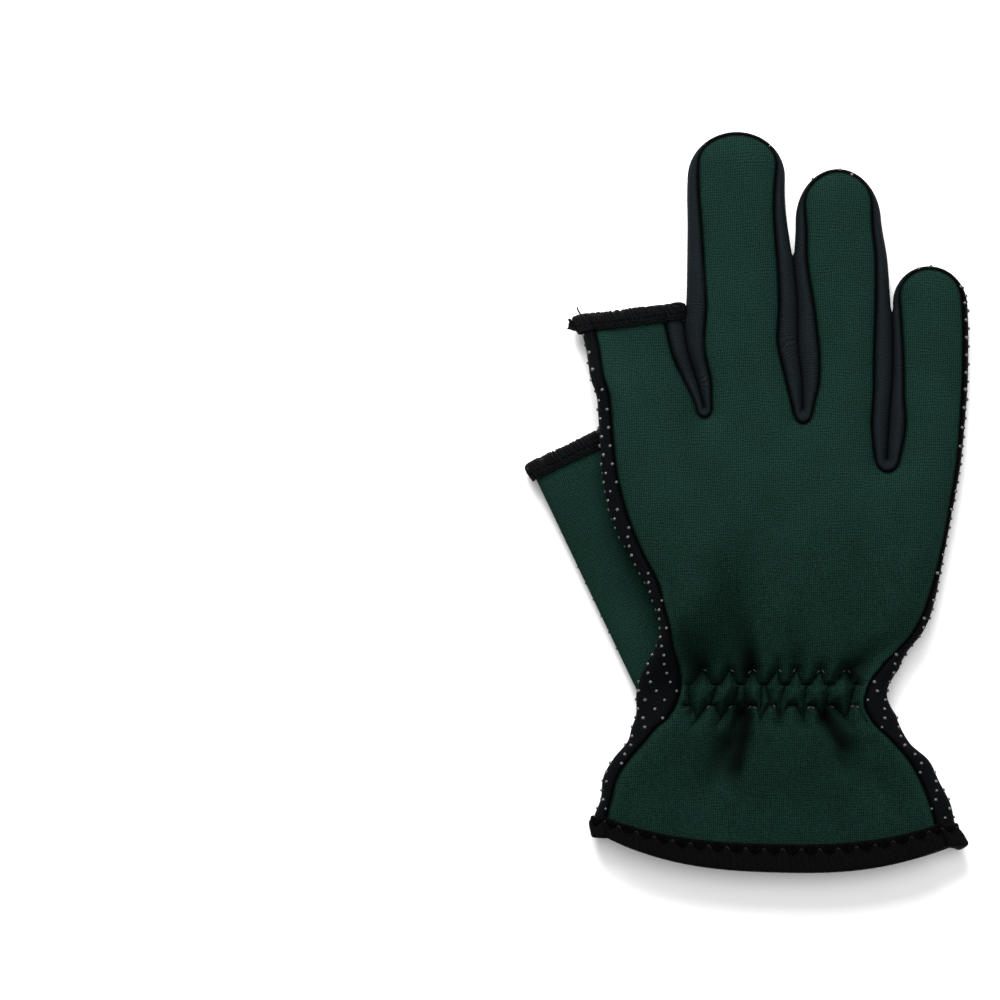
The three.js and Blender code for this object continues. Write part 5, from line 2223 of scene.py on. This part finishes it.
@dataclass
class Studio:
    """The pale floor, the soft light and the camera over the glove."""

    framing: float = 0.320
    centre: tuple[float, float] = (-0.07926, 0.00062)
    distance: float = 2.6
    focus_height: float = 0.010
    floor_height: float = -0.0009
    sensor: float = 36.0
    far: float = 100
    floor: Finish = Finish("studio_floor", (0.9, 0.9, 0.9))
    floor_half: float = 6.0
    glow: float = 0.43
    lamps: tuple[Lamp, ...] = (
        Lamp("overhead", (0.1, 0.2, 1.6), size=0.9, watts=15),
        Lamp("key", (-0.1, 0.5, 0.56), size=0.42, watts=10),
    )

    def build(self) -> None:
        """Sets up the stage."""
        floor = bpy.data.meshes.new(self.floor.name)
        half, low = self.floor_half, self.floor_height
        corners = [(-half, -half, low), (half, -half, low), (half, half, low), (-half, half, low)]
        floor.from_pydata(corners, [], [(0, 1, 2, 3)])
        floor.materials.append(self.floor.make().data)
        ground = bpy.data.objects.new(self.floor.name, floor)
        bpy.context.scene.collection.objects.link(ground)
        world = bpy.data.worlds.new("studio")
        world.use_nodes = True
        background = world.node_tree.nodes["Background"]
        background.inputs[0].default_value = (1, 1, 1, 1)
        background.inputs[1].default_value = self.glow
        bpy.context.scene.world = world
        bpy.context.scene.view_settings.view_transform = "Standard"
        for lamp in self.lamps:
            lamp.hang()
        self.camera()

    def camera(self) -> None:
        """Hangs the camera straight over the middle of the view."""
        data = bpy.data.cameras.new("camera")
        data.sensor_width = self.sensor
        data.lens = self.sensor * self.distance / self.framing
        data.clip_end = self.far
        camera = bpy.data.objects.new("camera", data)
        camera.location = (*self.centre, self.distance + self.focus_height)
        bpy.context.scene.collection.objects.link(camera)
        bpy.context.scene.camera = camera


# Name, finish, slot and label of the hand's panels, and of the thumb's.
HAND_PANELS = (
    ("back_panel", "back", "back_knit", Panel.BACK),
    ("palm_panel", "grip", "grip_cloth", Panel.PALM),
    ("fourchette_index_middle", "side", "side_cloth", Panel.INDEX_MIDDLE),
    ("fourchette_middle_ring", "side", "side_cloth", Panel.MIDDLE_RING),
    ("fourchette_ring_little", "side", "side_cloth", Panel.RING_LITTLE),
)
THUMB_PANELS = (
    ("thumb_back", "back", "back_knit", Panel.BACK),
    ("thumb_grip", "grip", "grip_cloth", Panel.GRIP),
)


@dataclass
class Glove:
    """The whole glove, panel by panel."""

    wardrobe: Wardrobe
    plan: HandPlan = field(default_factory=HandPlan)
    gathers: WristGathers = field(default_factory=WristGathers)

    def build(self) -> None:
        """Makes every piece in the order in which they are sewn."""
        hand = HandSkin(self.plan, self.gathers).build()
        thumb = ThumbSkin(self.plan).build()
        hem = hand.hem_loops(self.plan.cuff_binding)
        mouth = hand.index_loops(self.plan.mouth_binding)
        tube = thumb.loops
        self.panels(hand.skin, set(hem[0].tolist()) | set(mouth[0].tolist()), HAND_PANELS)
        self.panels(thumb.skin, set(tube[0].tolist()) | set(tube[-1].tolist()), THUMB_PANELS)
        CuffRibbon().build(Rim(hand.skin, hem, CuffRibbon.samples), self.wardrobe)
        index = YarnEdging("index_binding")
        index.build(Rim(hand.skin, mouth, index.samples, -1), self.wardrobe)
        keep = round(self.plan.mouth_binding / self.plan.thumb_length * thumb.rows) + 2
        edging = YarnEdging("thumb_binding")
        edging.build(Rim(thumb.skin, tube[::-1][:keep], edging.samples), self.wardrobe)
        GripDots("palm_grip_dots", "grip_cloth").build(hand.skin, Panel.PALM, self.wardrobe)
        low_dots = GripDots("thumb_grip_dots", "grip_cloth", highest=-0.35)
        low_dots.build(thumb.skin, Panel.GRIP, self.wardrobe)
        WristStitches(self.gathers).build(hand, self.wardrobe)
        LooseThreads(hand).build(self.wardrobe)

    def panels(self, skin: Skin, open_ids: set[int], rows: Sequence[tuple[str, str, str, Panel]]) -> None:
        """Makes the panels of a skin.

        Args:
            skin: the layer that holds them.
            open_ids: vertices at its open mouths.
            rows: name, finish, slot and label of each panel.
        """
        for name, finish, slot, panel in rows:
            piece = Piece(f"{name}_cloth", finish, slot, (name,))
            SewnPanel(piece, panel).build(skin, open_ids, self.wardrobe)


def main() -> None:
    """Builds the glove and its studio, with each piece's face count logged."""
    logging.basicConfig(level=logging.INFO, format="%(name)s %(message)s")
    Glove(Wardrobe()).build()
    Studio().build()


if __name__ == "__main__":
    main()
